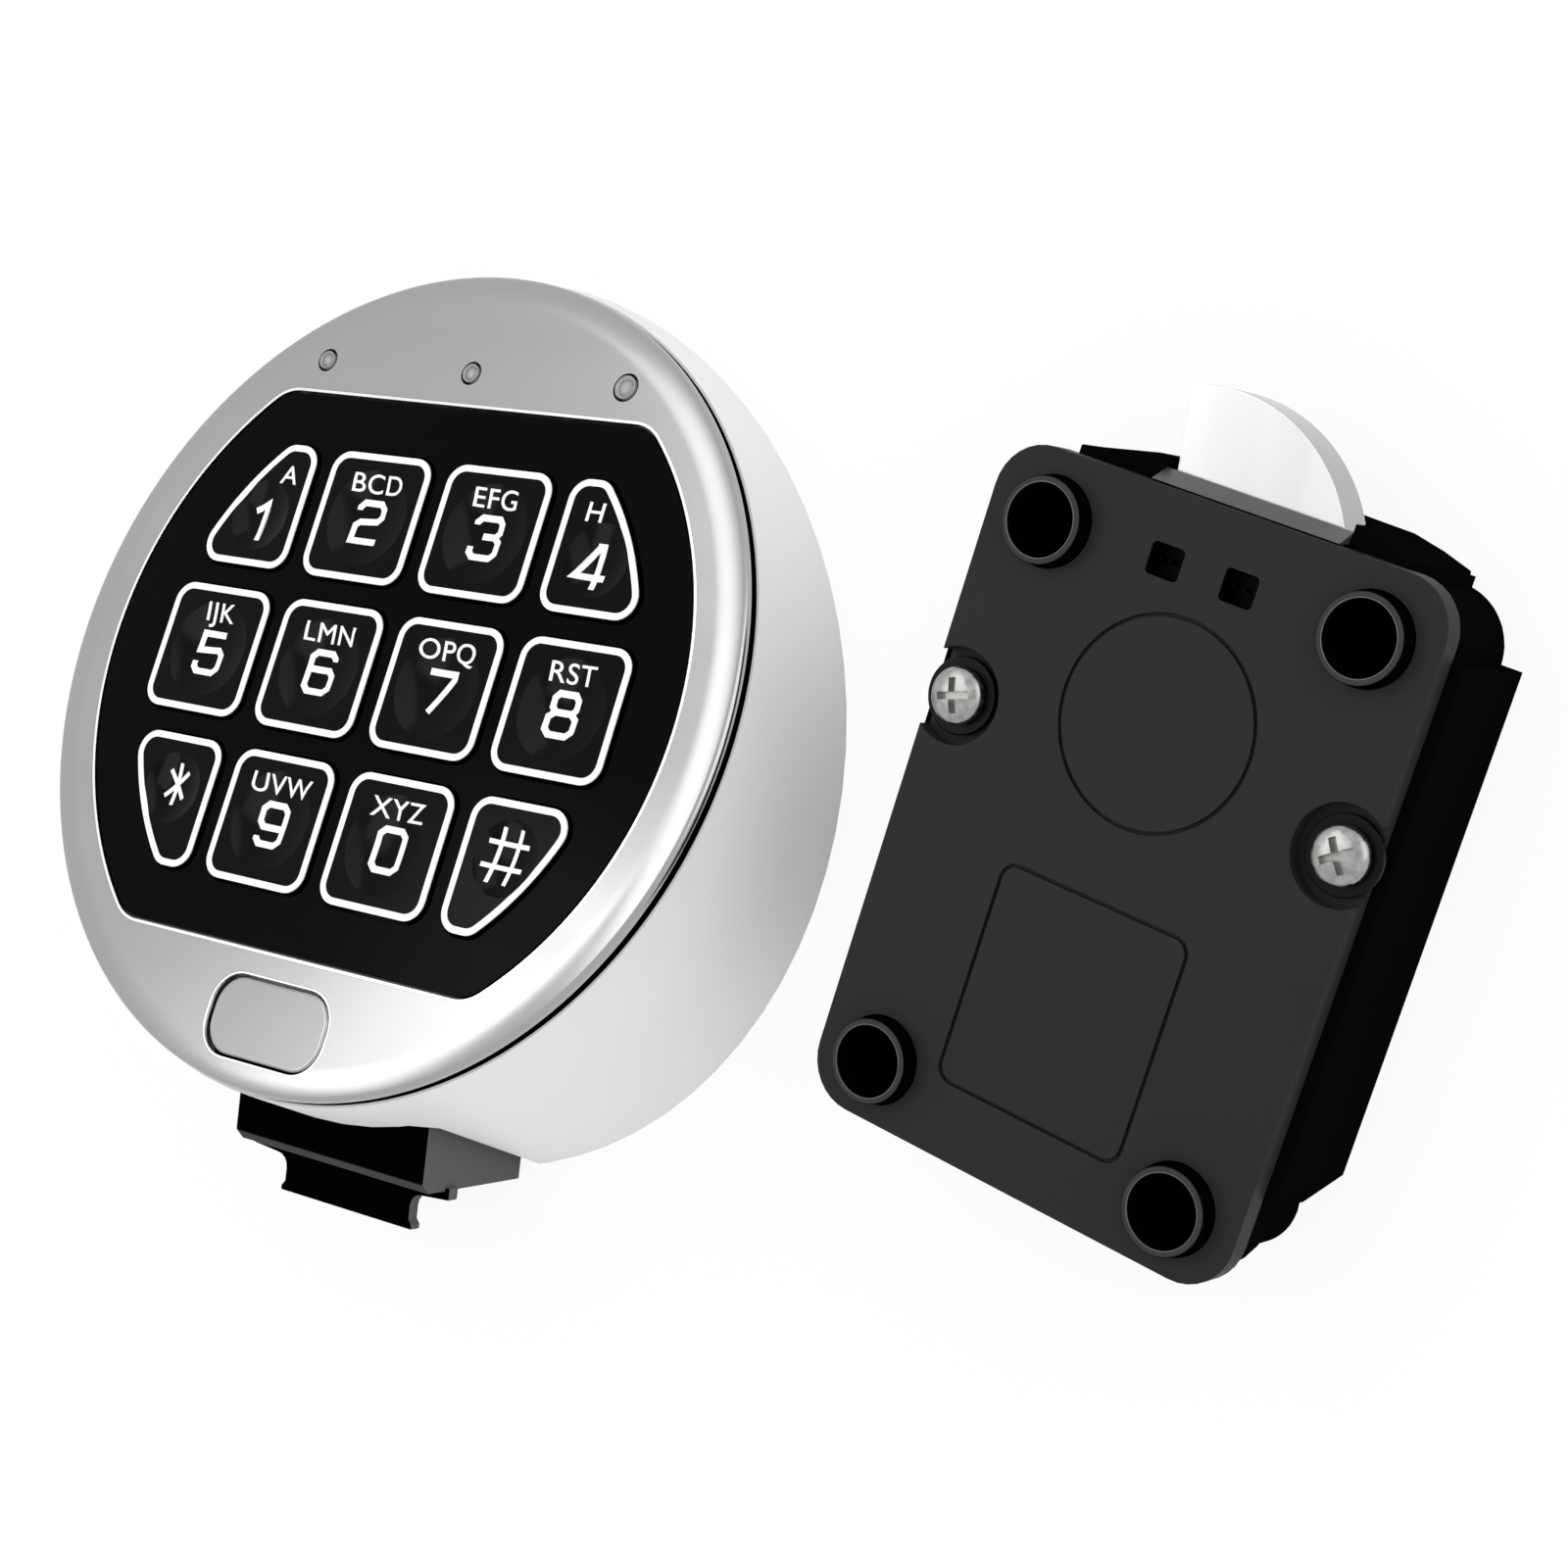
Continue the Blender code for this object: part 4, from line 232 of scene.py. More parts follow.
class LockSizes(bpy.types.PropertyGroup):
    """Sizes of the lock body, measured from the middle of its four mounting holes."""

    spot_x: length("Place X", "Where the lock stands along X", 0.06783)
    spot_y: length("Place Y", "Where the lock stands along Y", 0.00255)
    yaw: angle("Yaw", "How far the lock is turned about Z", -12.0)
    hole_x: length("Hole X", "Half the spacing of the mounting holes across", 0.02065)
    hole_y: length("Hole Y", "Half the spacing of the mounting holes along", 0.03335)
    cover_half_width: length("Cover half width", "Half the cover's width", 0.0291)
    cover_end_top: length("Cover bolt end", "Where the cover ends next to the bolt", 0.0415)
    cover_end_bottom: length("Cover far end", "Where the cover ends away from the bolt", -0.0408)
    cover_corner: length("Cover corner", "Radius of the cover's corners", 0.0062)
    cover_edge: length("Cover edge", "Width of the cover's soft edge", 0.0012)
    cover_bottom: length("Cover underside", "Height of the cover's underside", 0.0168)
    cover_top: length("Cover top", "Height of the cover's top", 0.0200)
    case_top: length("Case top", "Height of the case's walls", 0.0165)
    top_corner: length("Bolt end corner", "Radius of the case's corners next to the bolt", 0.0074)
    foot_corner: length("Far corner", "Radius of the case's corners away from the bolt", 0.0063)
    slot_left: length("Slot left end", "Where the bolt's slot starts across", -0.0108)
    slot_right: length("Slot right end", "Where the bolt's slot ends across", 0.0134)
    slot_bottom: length("Slot bottom", "Height of the bottom of the bolt's slot", 0.0085)
    mouth_start: length("Mouth bar start", "Where the bare bar over the bolt starts along", 0.0417)
    mouth_end: length("Mouth end", "Where the mouth round the bolt ends along", 0.0446)
    strip_end: length("Mouth bar end", "Where the bare bar over the bolt ends along", 0.0432)
    strip_bottom: length("Bar underside", "Height of the bar's underside", 0.0154)
    strip_low: length("Bar low edge", "Height of the bar's outer edge", 0.0159)
    strip_high: length("Bar high edge", "Height of the bar's inner edge", 0.0188)
    recess_radius: length("Recess radius", "Radius of the screw recesses", 0.0058)
    recess_floor: length("Recess floor", "Height of the floor of the screw recesses", 0.0178)
    screw_x: length("Screw X", "Where the cover screws are across", 0.0256)
    screw_y: length("Screw Y", "Where the cover screws are along", 0.0106)
    screw_hole: length("Screw hole", "Radius of the cover's screw holes", 0.0020)
    circle_radius: length("Circle radius", "Radius of the engraved circle", 0.0122)
    circle_line: length("Circle line", "Where the engraved circle is along", 0.0163)
    square_half_x: length("Square half width", "Half the width of the engraved square", 0.0126)
    square_half_y: length("Square half length", "Half the length of the engraved square", 0.0135)
    square_line: length("Square line", "Where the engraved square is along", -0.0184)
    square_corner: length("Square corner", "Corner radius of the engraved square", 0.0020)
    engraving_width: length("Engraving width", "Width of the engraved lines", 0.0005)
    engraving_depth: length("Engraving depth", "Depth of the engraved lines", 0.0006)
    sleeve_radius: length("Sleeve radius", "Outer radius of the sleeves", 0.0051)
    sleeve_bore: length("Sleeve bore", "Radius of the sleeves' bores", 0.0042)
    sleeve_bottom: length("Sleeve bottom", "Height of the sleeves' lower ends", 0.0023)
    sleeve_top: length("Sleeve top", "Height of the sleeves' upper ends", 0.0224)
    bore_edge: length("Bore edge", "Width of the bare edge round each bore", 0.00014)
    sleeve_edge: length("Sleeve edge", "Radius of the sleeves' rims", 0.00035)
    socket_line: length("Socket line", "Where the cable sockets are along", 0.0336)
    socket_left: length("Left socket", "Where the left socket is across", -0.0052)
    socket_right: length("Right socket", "Where the right socket is across", 0.0044)
    socket_half_x: length("Socket half width", "Half the width of a socket's opening", 0.00215)
    socket_half_y: length("Socket half length", "Half the length of a socket's opening", 0.0019)
    socket_wall: length("Socket wall", "Wall of a socket", 0.0006)
    socket_top: length("Socket top", "Height of the top of the sockets", 0.0197)
    gap: length("Gap", "Room left between pieces that meet", 0.0003)


class BoltSizes(bpy.types.PropertyGroup):
    """Sizes of the swing bolt, its screws and the parts behind it, measured from their own pins."""

    pin_x: length("Pin X", "Where the bolt's pin is across the lock", -0.0055)
    pin_y: length("Pin Y", "Where the bolt's pin is along the lock", 0.0344)
    radius: length("Radius", "Radius of the bolt", 0.0193)
    bottom: length("Underside", "Height of the bolt's underside", 0.0090)
    top: length("Top", "Height of the bolt's top", 0.0150)
    edge: length("Edge", "Width of the bolt's broken edges", 0.00035)
    side_angle: angle("Side angle", "Direction of the bolt's straight side", 99.3)
    side_offset: length("Side offset", "Distance of the straight side from the pin", 0.0029)
    hub_radius: length("Hub radius", "Radius of the bolt's hub", 0.0046)
    hub_end: angle("Hub end", "Where the hub's round ends", 290.0)
    full_angle: angle("Full angle", "Where the heel reaches the full radius", 25.0)
    heel_angle: angle("Heel angle", "Where the heel starts", -18.0)
    heel_radius: length("Heel radius", "Radius at the start of the heel", 0.0156)
    bore: length("Bore", "Radius of the bolt's bore", 0.0029)
    screw_head: length("Screw head", "Radius of a cover screw's head", 0.0034)
    screw_shank: length("Screw shank", "Radius of a cover screw's shank", 0.0016)
    screw_end: length("Screw end", "Height of a cover screw's lower end", 0.0085)
    washer_radius: length("Washer radius", "Radius of a cover screw's washer", 0.0046)
    washer_bottom: length("Washer bottom", "Height of a washer's underside", 0.0181)
    washer_thickness: length("Washer thickness", "Thickness of a washer", 0.0007)
    head_bottom: length("Head bottom", "Height of a screw head's underside", 0.0191)
    head_height: length("Head height", "Height of a screw head", 0.0019)
    cross_width: length("Cross width", "Width of the cross in a screw head", 0.0009)
    cross_length: length("Cross length", "Length of the cross in a screw head", 0.0042)
    cross_depth: length("Cross depth", "Depth of the cross in a screw head", 0.0012)


class FinishColours(bpy.types.PropertyGroup):
    """Colours of the finishes."""

    wall: colour("Wall", "Painted wall of the keypad", "E3E4E5")
    ring: colour("Ring", "Satin metal of the face ring", "ABACAD")
    panel: colour("Panel", "Gloss black panel", "030304")
    key: colour("Key", "Gloss black keys", "050506")
    print_white: colour("Print", "White print on the keys", "F4F4F2")
    drawer: colour("Drawer", "Black plastic of the battery drawer", "030304")
    cover: colour("Cover", "Charcoal coat of the lock's cover", "262628")
    case: colour("Case", "Black coat of the lock's case", "080809")
    # Also the near-black painted shade on the sleeves' side faces; the washers have it as their own black oxide
    sleeve: colour("Sleeve", "Black coat of the sleeves", "040405")
    bolt: colour("Bolt", "Polished steel of the bolt", "DEDEDD")
    zinc: colour("Zinc", "Zinc plate of screws and pins", "B4B4B0")
    board: colour("Board", "Green of the circuit boards", "1C5A34")


class StudioSettings(bpy.types.PropertyGroup):
    """Camera and light."""

    eye: FloatVectorProperty(
        name="Eye", description="Where the camera is", default=(0.22313, 0.03535, 0.31160), subtype="XYZ"
    )
    target: FloatVectorProperty(
        name="Target", description="What the camera looks at", default=(0.02249, 0.00446, 0.0200), subtype="XYZ"
    )
    roll: angle("Roll", "How far the camera is turned about its view", -90.256)
    lens: FloatProperty(name="Lens", description="Focal length on a 36 mm sensor", default=67.5, subtype="DISTANCE_CAMERA")
    sky: FloatProperty(name="Sky", description="Strength of the light from all round", default=0.9, min=0.0)
    softbox: FloatProperty(name="Softbox", description="Power of the softbox", default=0.54, min=0.0)
    fill: FloatProperty(name="Fill", description="Power of the fill light on the right", default=1.7, min=0.0)
    overhead: FloatProperty(name="Overhead", description="Power of the light overhead", default=1.25, min=0.0)


# Outlines, as lists of points that run anticlockwise


def arc(radius, start, end, flats, x=0.0, y=0.0):
    angles = [start + (end - start) * i / flats for i in range(flats + 1)]
    return [(x + radius * math.cos(a), y + radius * math.sin(a)) for a in angles]


def circle(radius, flats=ROUND_FLATS, x=0.0, y=0.0):
    return arc(radius, 0.0, math.tau, flats, x, y)[:-1]


def rounded_rectangle(half_x, half_y, radius, x=0.0, y=0.0):
    points = []
    for turn, (side, up) in enumerate(((1, 1), (-1, 1), (-1, -1), (1, -1))):
        spot = (x + side * (half_x - radius), y + up * (half_y - radius))
        points += arc(radius, turn * QUARTER, (turn + 1) * QUARTER, CORNER_FLATS, *spot)
    return points


def barrel(radius, half_height, corner, middle=0.0):
    """A circle cut straight at the top and the bottom, its four corners rounded."""
    low, high = half_height - middle - corner, half_height + middle - corner
    low_x, high_x = (math.sqrt((radius - corner) ** 2 - y**2) for y in (low, high))
    low_angle, high_angle = -math.atan2(low, low_x), math.atan2(high, high_x)
    right = arc(corner, -QUARTER, low_angle, CORNER_FLATS, low_x, -low)
    right += arc(radius, low_angle, high_angle, ROUND_FLATS // 2)[1:-1]
    right += arc(corner, high_angle, QUARTER, CORNER_FLATS, high_x, high)
    return right + [(-x, y) for x, y in reversed(right)]


def key_middle(sizes, column, row):
    return (
        sizes.middle_x + (column - 1.5) * sizes.pitch_x,
        sizes.middle_y + (1 - row) * sizes.pitch_y,
    )


def key_outline(sizes, column, row, margin):
    """A rounded square, trimmed by the circle that runs round the twelve keys."""
    x, y = key_middle(sizes, column, row)
    side, up = (1 if x > sizes.middle_x else -1), (1 if row < 2 else -1)
    arm, radius = sizes.half_side - sizes.corner, sizes.corner + margin
    inner, outer = abs(x - sizes.middle_x) - arm, abs(x - sizes.middle_x) + arm
    low, high = abs(y - sizes.middle_y) - arm, abs(y - sizes.middle_y) + arm
    reach = sizes.trim_radius - sizes.corner
    points = arc(radius, -math.pi, -QUARTER, CORNER_FLATS, inner, low)
    if math.hypot(outer, high) > reach:
        low_x, high_x = (math.sqrt(reach**2 - v**2) for v in (low, high))
        start, end = math.atan2(low, low_x), math.atan2(high, high_x)
        points += arc(radius, -QUARTER, start, CORNER_FLATS, low_x, low)
        points += arc(sizes.trim_radius + margin, start, end, ROUND_FLATS // 8)[1:-1]
        points += arc(radius, end, QUARTER, CORNER_FLATS, high_x, high)
    else:
        points += arc(radius, -QUARTER, 0.0, CORNER_FLATS, outer, low)
        points += arc(radius, 0.0, QUARTER, CORNER_FLATS, outer, high)
    points += arc(radius, QUARTER, math.pi, CORNER_FLATS, inner, high)
    if side * up < 0:
        points.reverse()
    return [(sizes.middle_x + side * px, sizes.middle_y + up * py) for px, py in points]


def stroke_outlines(points, closed, width):
    """The two sides of a mitred stroke along a line of points, as one outline, or two for a closed line."""
    count = len(points)
    sides = ([], [])
    for i, point in enumerate(points):
        point = Vector(point)
        before = Vector(points[i - 1]) if closed or i else None
        after = Vector(points[(i + 1) % count]) if closed or i < count - 1 else None
        ways = [(a - b).normalized() for a, b in ((point, before), (after, point)) if a and b]
        normals = [Vector((-way.y, way.x)) for way in ways]
        mitre = sum(normals, Vector((0.0, 0.0))).normalized()
        offset = mitre * (width / 2) / max(mitre.dot(normals[0]), 0.5)
        sides[0].append(tuple(point - offset))
        sides[1].append(tuple(point + offset))
    if closed:
        return list(sides)
    return [sides[0] + sides[1][::-1]]


# Meshes


def plate(outlines, bottom, top):
    """A flat plate. An outline inside another is a hole through it."""
    curve = bpy.data.curves.new("plate", "CURVE")
    curve.dimensions = "2D"
    curve.fill_mode = "BOTH"
    curve.extrude = (top - bottom) / 2
    for outline in outlines:
        spline = curve.splines.new("POLY")
        spline.points.add(len(outline) - 1)
        for point, (x, y) in zip(spline.points, outline):
            point.co = (x, y, 0.0, 1.0)
        spline.use_cyclic_u = True
    mesh = baked(bpy.data.objects.new("plate", curve))
    mesh.transform(Matrix.Translation((0.0, 0.0, (top + bottom) / 2)))
    return merged(mesh)


def merged(mesh):
    """The same mesh with its loose faces joined, and its flat faces made whole."""
    shape = bmesh.new()
    shape.from_mesh(mesh)
    bmesh.ops.remove_doubles(shape, verts=shape.verts, dist=WELD)
    bmesh.ops.dissolve_limit(shape, angle_limit=math.radians(0.5), verts=shape.verts, edges=shape.edges)
    shape.to_mesh(mesh)
    shape.free()
    mesh.materials.clear()
    return mesh


def turned(profile, flats=ROUND_FLATS, closed=False):
    """A profile of radius and height turned about Z."""
    shape = bmesh.new()
    points = [shape.verts.new((radius, 0.0, height)) for radius, height in profile]
    edges = [shape.edges.new(pair) for pair in zip(points, points[1:])]
    if closed:
        edges.append(shape.edges.new((points[-1], points[0])))
    bmesh.ops.spin(
        shape, geom=points + edges, cent=(0, 0, 0), axis=(0, 0, 1), angle=math.tau, steps=flats, use_merge=True
    )
    bmesh.ops.remove_doubles(shape, verts=shape.verts, dist=WELD)
    bmesh.ops.recalc_face_normals(shape, faces=shape.faces)
    mesh = bpy.data.meshes.new("turned")
    shape.to_mesh(mesh)
    shape.free()
    return mesh


def boxes(*sides):
    """Boxes given as left, right, low, high, bottom and top."""
    shape = bmesh.new()
    for left, right, low, high, bottom, top in sides:
        middle = Vector((left + right, low + high, bottom + top)) / 2
        size = Matrix.Diagonal((right - left, high - low, top - bottom, 1.0))
        bmesh.ops.create_cube(shape, size=1.0, matrix=Matrix.Translation(middle) @ size)
    mesh = bpy.data.meshes.new("boxes")
    shape.to_mesh(mesh)
    shape.free()
    return mesh


def weight_top_edges(mesh, weight_of):
    """Gives the edges round a plate's top a bevel weight, by a rule on the edge's middle."""
    shape = bmesh.new()
    shape.from_mesh(mesh)
    top = max(vert.co.z for vert in shape.verts)
    weights = shape.edges.layers.float.new("bevel_weight_edge")
    for edge in shape.edges:
        at_top = all(top - vert.co.z < WELD for vert in edge.verts)
        if at_top and len(edge.link_faces) == 2 and edge.calc_face_angle() > QUARTER / 2:
            edge[weights] = weight_of((edge.verts[0].co + edge.verts[1].co) / 2)
    shape.to_mesh(mesh)
    shape.free()
    return mesh


def linked(name, mesh):
    obj = bpy.data.objects.new(name, mesh)
    bpy.context.scene.collection.objects.link(obj)
    return obj


def baked(obj):
    """The object's mesh with its modifiers applied. The object is removed."""
    if obj.name not in bpy.context.scene.collection.objects:
        bpy.context.scene.collection.objects.link(obj)
    bpy.context.view_layer.update()
    graph = bpy.context.evaluated_depsgraph_get()
    mesh = bpy.data.meshes.new_from_object(obj.evaluated_get(graph))
    bpy.data.objects.remove(obj)
    return mesh


def carved(mesh, cutters, operation="DIFFERENCE"):
    """The mesh with each cutter taken from it, or joined to it."""
    obj = linked("carved", mesh)
    tools = []
    for cutter, place in cutters:
        tool = linked("cutter", cutter)
        tool.data.transform(place)
        modifier = obj.modifiers.new("cut", "BOOLEAN")
        modifier.operation, modifier.solver, modifier.object = operation, "EXACT", tool
        tools.append(tool)
    result = baked(obj)
    for tool in tools:
        bpy.data.objects.remove(tool)
    result.materials.clear()
    return result


def bevelled(mesh, width, segments=2, by_weight=False, limit=35.0):
    """The mesh with its edges rounded, and its flat faces shaded flat next to them."""
    obj = linked("bevelled", mesh)
    bevel = obj.modifiers.new("bevel", "BEVEL")
    bevel.width, bevel.segments = width, segments
    bevel.limit_method = "WEIGHT" if by_weight else "ANGLE"
    bevel.angle_limit = math.radians(limit)
    bevel.use_clamp_overlap = True
    result = baked(obj)
    result.materials.clear()
    return result


def shaded(mesh, sharp=50.0):
    """Smooth shading with sharp creases, where large faces keep their own direction."""
    mesh.shade_smooth()
    mesh.set_sharp_from_angle(angle=math.radians(sharp))
    obj = linked("shaded", mesh)
    weighted = obj.modifiers.new("weighted", "WEIGHTED_NORMAL")
    weighted.keep_sharp = True
    weighted.weight = 80
    return baked(obj)


def place_piece(name, mesh, place, body, finish, slot, replaces=(), sharp=50.0):
    """Puts a finished piece in the scene: its place goes into its mesh, and it rides on its body."""
    mesh = shaded(mesh, sharp)
    mesh.transform(place)
    mesh.name = name
    mesh.materials.clear()
    mesh.materials.append(finish)
    obj = linked(name, mesh)
    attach(obj, body)
    if replaces:
        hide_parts(*replaces)
    return obj


def softened(name, node, width, body, finish, slot, segments=2):
    """A copy of a solid's mesh, merged, with its edges rounded, that stands for the solid."""
    mesh = merged(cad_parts[node].data.copy())
    return place_piece(name, bevelled(mesh, width, segments), Matrix(), body, finish, slot, (node,))


# Geometry Nodes


def new_tree(name, sockets):
    """An empty node tree with named inputs and one geometry output."""
    tree = bpy.data.node_groups.new(name, "GeometryNodeTree")
    for label, kind, value in sockets:
        socket = tree.interface.new_socket(name=label, in_out="INPUT", socket_type=kind)
        if value is not None:
            socket.default_value = value
    tree.interface.new_socket(name="Geometry", in_out="OUTPUT", socket_type="NodeSocketGeometry")
    return tree, tree.nodes.new("NodeGroupInput").outputs


def run_tree(tree, mesh, values):
    """Runs a tree on a mesh and gives the plain mesh that comes out."""
    obj = linked("grown", mesh)
    modifier = obj.modifiers.new("nodes", "NODES")
    modifier.node_group = tree
    names = {item.name: item.identifier for item in tree.interface.items_tree if item.in_out == "INPUT"}
    for label, value in values.items():
        modifier[names[label]] = value
    return baked(obj)


def add_node(tree, kind, inputs=None, **settings):
    """Adds a node, sets its properties, and fills or links its inputs."""
    node = tree.nodes.new(kind)
    for name, value in settings.items():
        setattr(node, name, value)
    for key, value in (inputs or {}).items():
        if isinstance(value, bpy.types.NodeSocket):
            tree.links.new(value, node.inputs[key])
        else:
            node.inputs[key].default_value = value
    return node


def finish_tree(tree, geometry, material):
    """Ends a tree in Realize Instances and Set Material."""
    real = add_node(tree, "GeometryNodeRealizeInstances", {"Geometry": geometry})
    dressed = add_node(tree, "GeometryNodeSetMaterial", {"Geometry": real.outputs[0], "Material": material})
    add_node(tree, "NodeGroupOutput", {"Geometry": dressed.outputs[0]})
    return tree


def tube_tree():
    """Upright tubes with rounded rims, one on each point of the mesh."""
    tree, given = new_tree(
        "upright_tubes",
        (
            ("Geometry", "NodeSocketGeometry", None),
            ("Middle radius", "NodeSocketFloat", 0.005),
            ("Wall", "NodeSocketFloat", 0.001),
            ("Height", "NodeSocketFloat", 0.01),
            ("Rim", "NodeSocketFloat", 0.0003),
            ("Material", "NodeSocketMaterial", None),
        ),
    )
    section = add_node(
        tree, "GeometryNodeCurvePrimitiveQuadrilateral", {"Width": given["Wall"], "Height": given["Height"]}
    )
    rounded = add_node(
        tree,
        "GeometryNodeFilletCurve",
        {"Curve": section.outputs[0], "Radius": given["Rim"], "Count": CORNER_FLATS // 2},
        mode="POLY",
    )
    path = add_node(
        tree, "GeometryNodeCurvePrimitiveCircle", {"Resolution": ROUND_FLATS, "Radius": given["Middle radius"]}
    )
    tube = add_node(
        tree, "GeometryNodeCurveToMesh", {"Curve": path.outputs[0], "Profile Curve": rounded.outputs[0]}
    )
    spread = add_node(
        tree, "GeometryNodeInstanceOnPoints", {"Points": given["Geometry"], "Instance": tube.outputs[0]}
    )
    return finish_tree(tree, spread.outputs[0], given["Material"])


def winding_tree():
    """A wire wound round Z, from the origin up."""
    tree, given = new_tree(
        "wound_wire",
        (
            ("Geometry", "NodeSocketGeometry", None),
            ("Turns", "NodeSocketFloat", 10.0),
            ("Steps", "NodeSocketInt", 200),
            ("Radius", "NodeSocketFloat", 0.004),
            ("Height", "NodeSocketFloat", 0.01),
            ("Wire", "NodeSocketFloat", 0.0003),
            ("Material", "NodeSocketMaterial", None),
        ),
    )
    path = add_node(
        tree,
        "GeometryNodeCurveSpiral",
        {
            "Resolution": given["Steps"],
            "Rotations": given["Turns"],
            "Start Radius": given["Radius"],
            "End Radius": given["Radius"],
            "Height": given["Height"],
        },
    )
    section = add_node(tree, "GeometryNodeCurvePrimitiveCircle", {"Resolution": CORNER_FLATS, "Radius": given["Wire"]})
    wire = add_node(
        tree,
        "GeometryNodeCurveToMesh",
        {"Curve": path.outputs[0], "Profile Curve": section.outputs[0], "Fill Caps": True},
    )
    return finish_tree(tree, wire.outputs[0], given["Material"])


def union_tree():
    """Joins the overlapping closed bodies of one mesh into one."""
    tree, given = new_tree(
        "joined_strokes", (("Geometry", "NodeSocketGeometry", None), ("Material", "NodeSocketMaterial", None))
    )
    joined = add_node(tree, "GeometryNodeMeshBoolean", operation="UNION", solver="EXACT")
    tree.links.new(given["Geometry"], joined.inputs["Mesh 2"])
    joined.inputs["Self Intersection"].default_value = True
    return finish_tree(tree, joined.outputs[0], given["Material"])


def points_mesh(points):
    mesh = bpy.data.meshes.new("points")
    mesh.from_pydata(points, [], [])
    return mesh


# Finishes


def finish(name, shade, roughness, metallic=0.0, specular=0.5, coat=0.0, patch=0.012, tone=0.04, gloss=0.03,
           grain=0.0004, relief=0.000004, stretch=(1.0, 1.0, 1.0), sides=None):
    """A shader whose tone and gloss change slowly over the surface, with a fine grain that stands up from it.

    patch and grain are the sizes of the two patterns, and relief is the grain's height, in metres. Where sides
    is given, the faces that don't look up have that colour instead: painted shade on the sleeves and the bolt, and a
    painted reflection on the drawer.
    """
    found = bpy.data.materials.get(name)
    if found:
        return found
    material = bpy.data.materials.new(name)
    material.use_nodes = True
    tree = material.node_tree
    shader = tree.nodes["Principled BSDF"]
    shader.inputs["Metallic"].default_value = metallic
    shader.inputs["Specular IOR Level"].default_value = specular
    shader.inputs["Coat Weight"].default_value = coat
    place = add_node(tree, "ShaderNodeTexCoord").outputs["Object"]
    turned_place = add_node(tree, "ShaderNodeMapping", {"Vector": place, "Scale": stretch}).outputs[0]
    patches = add_node(
        tree, "ShaderNodeTexNoise", {"Vector": turned_place, "Scale": 1 / patch, "Detail": 3.0, "Roughness": 0.55}
    ).outputs["Fac"]
    dark = tuple(c * (1 - tone) for c in shade[:3]) + (1.0,)
    light = tuple(min(c * (1 + tone), 1.0) for c in shade[:3]) + (1.0,)
    mix = add_node(tree, "ShaderNodeMix", data_type="RGBA")
    tree.links.new(patches, mix.inputs[0])
    mix.inputs[6].default_value, mix.inputs[7].default_value = dark, light
    tone_out = mix.outputs[2]
    # Painted light and shade: the faces that don't look up take the sides colour, set by which way they face
    if sides:
        normal = add_node(tree, "ShaderNodeNewGeometry").outputs["True Normal"]
        upward = add_node(tree, "ShaderNodeSeparateXYZ", {"Vector": normal}).outputs["Z"]
        share = add_node(
            tree, "ShaderNodeMapRange", {"Value": upward, "From Min": 0.55, "From Max": 0.9}
        ).outputs[0]
        faces = add_node(tree, "ShaderNodeMix", data_type="RGBA")
        tree.links.new(share, faces.inputs[0])
        faces.inputs[6].default_value = sides
        tree.links.new(tone_out, faces.inputs[7])
        tone_out = faces.outputs[2]
    tree.links.new(tone_out, shader.inputs["Base Color"])
    spread = add_node(
        tree,
        "ShaderNodeMapRange",
        {"Value": patches, "From Min": 0.3, "From Max": 0.7, "To Min": roughness - gloss, "To Max": roughness + gloss},
    )
    tree.links.new(spread.outputs[0], shader.inputs["Roughness"])
    specks = add_node(
        tree, "ShaderNodeTexNoise", {"Vector": turned_place, "Scale": 1 / grain, "Detail": 2.0}
    ).outputs["Fac"]
    bump = add_node(tree, "ShaderNodeBump", {"Height": specks, "Strength": 1.0, "Distance": relief})
    tree.links.new(bump.outputs[0], shader.inputs["Normal"])
    return material


def painted_casting():
    # Die-cast zinc sprayed with fine silver-grey paint: soft, even, with a slight orange peel about 1 mm across
    shade = bpy.context.scene.lock_colours.wall
    return finish("painted_zinc_casting", shade, 0.42, 0.0, 0.4, 0.0, 0.02, 0.02, 0.04, 0.0011, 0.000006)


def satin_metal():
    # Aluminium sheet, brushed along the face and clear coated: broad soft highlights with fine streaks along X
    shade = bpy.context.scene.lock_colours.ring
    return finish("brushed_aluminium_sheet", shade, 0.22, 1.0, 0.5, 0.0, 0.03, 0.035, 0.05, 0.0016, 0.0000025,
                  (0.06, 1.0, 1.0))


def gloss_panel():
    # ABS moulded against a polished tool: deep black, mirror-like, with very slight waviness
    shade = bpy.context.scene.lock_colours.panel
    return finish("polished_black_abs", shade, 0.16, 0.0, 0.035, 0.0, 0.03, 0.15, 0.03, 0.006, 0.000004)


def gloss_key():
    # Keys moulded in the same ABS, a little brighter in reflection because they are handled and polished
    shade = bpy.context.scene.lock_colours.key
    return finish("polished_black_key_abs", shade, 0.12, 0.0, 0.07, 0.0, 0.02, 0.15, 0.02, 0.005, 0.000003)


def white_print():
    # Pad-printed white ink: matt, slightly uneven in cover
    shade = bpy.context.scene.lock_colours.print_white
    return finish("pad_printed_white_ink", shade, 0.5, 0.0, 0.4, 0.0, 0.004, 0.03, 0.05, 0.0005, 0.000003)


def clear_lens():
    # Clear grey acrylic over a dark chip: a small bright dot of reflection on grey
    return finish("moulded_grey_acrylic", linear("9A9B9D"), 0.14, 0.0, 0.5, 0.4, 0.002, 0.1, 0.03, 0.001, 0.000002)


def matt_rubber():
    # Silicone rubber from a fine-blasted tool: dark, dry
    return finish("moulded_silicone_rubber", linear("1C1C1D"), 0.75, 0.0, 0.3, 0.0, 0.01, 0.12, 0.06, 0.0005, 0.00001)


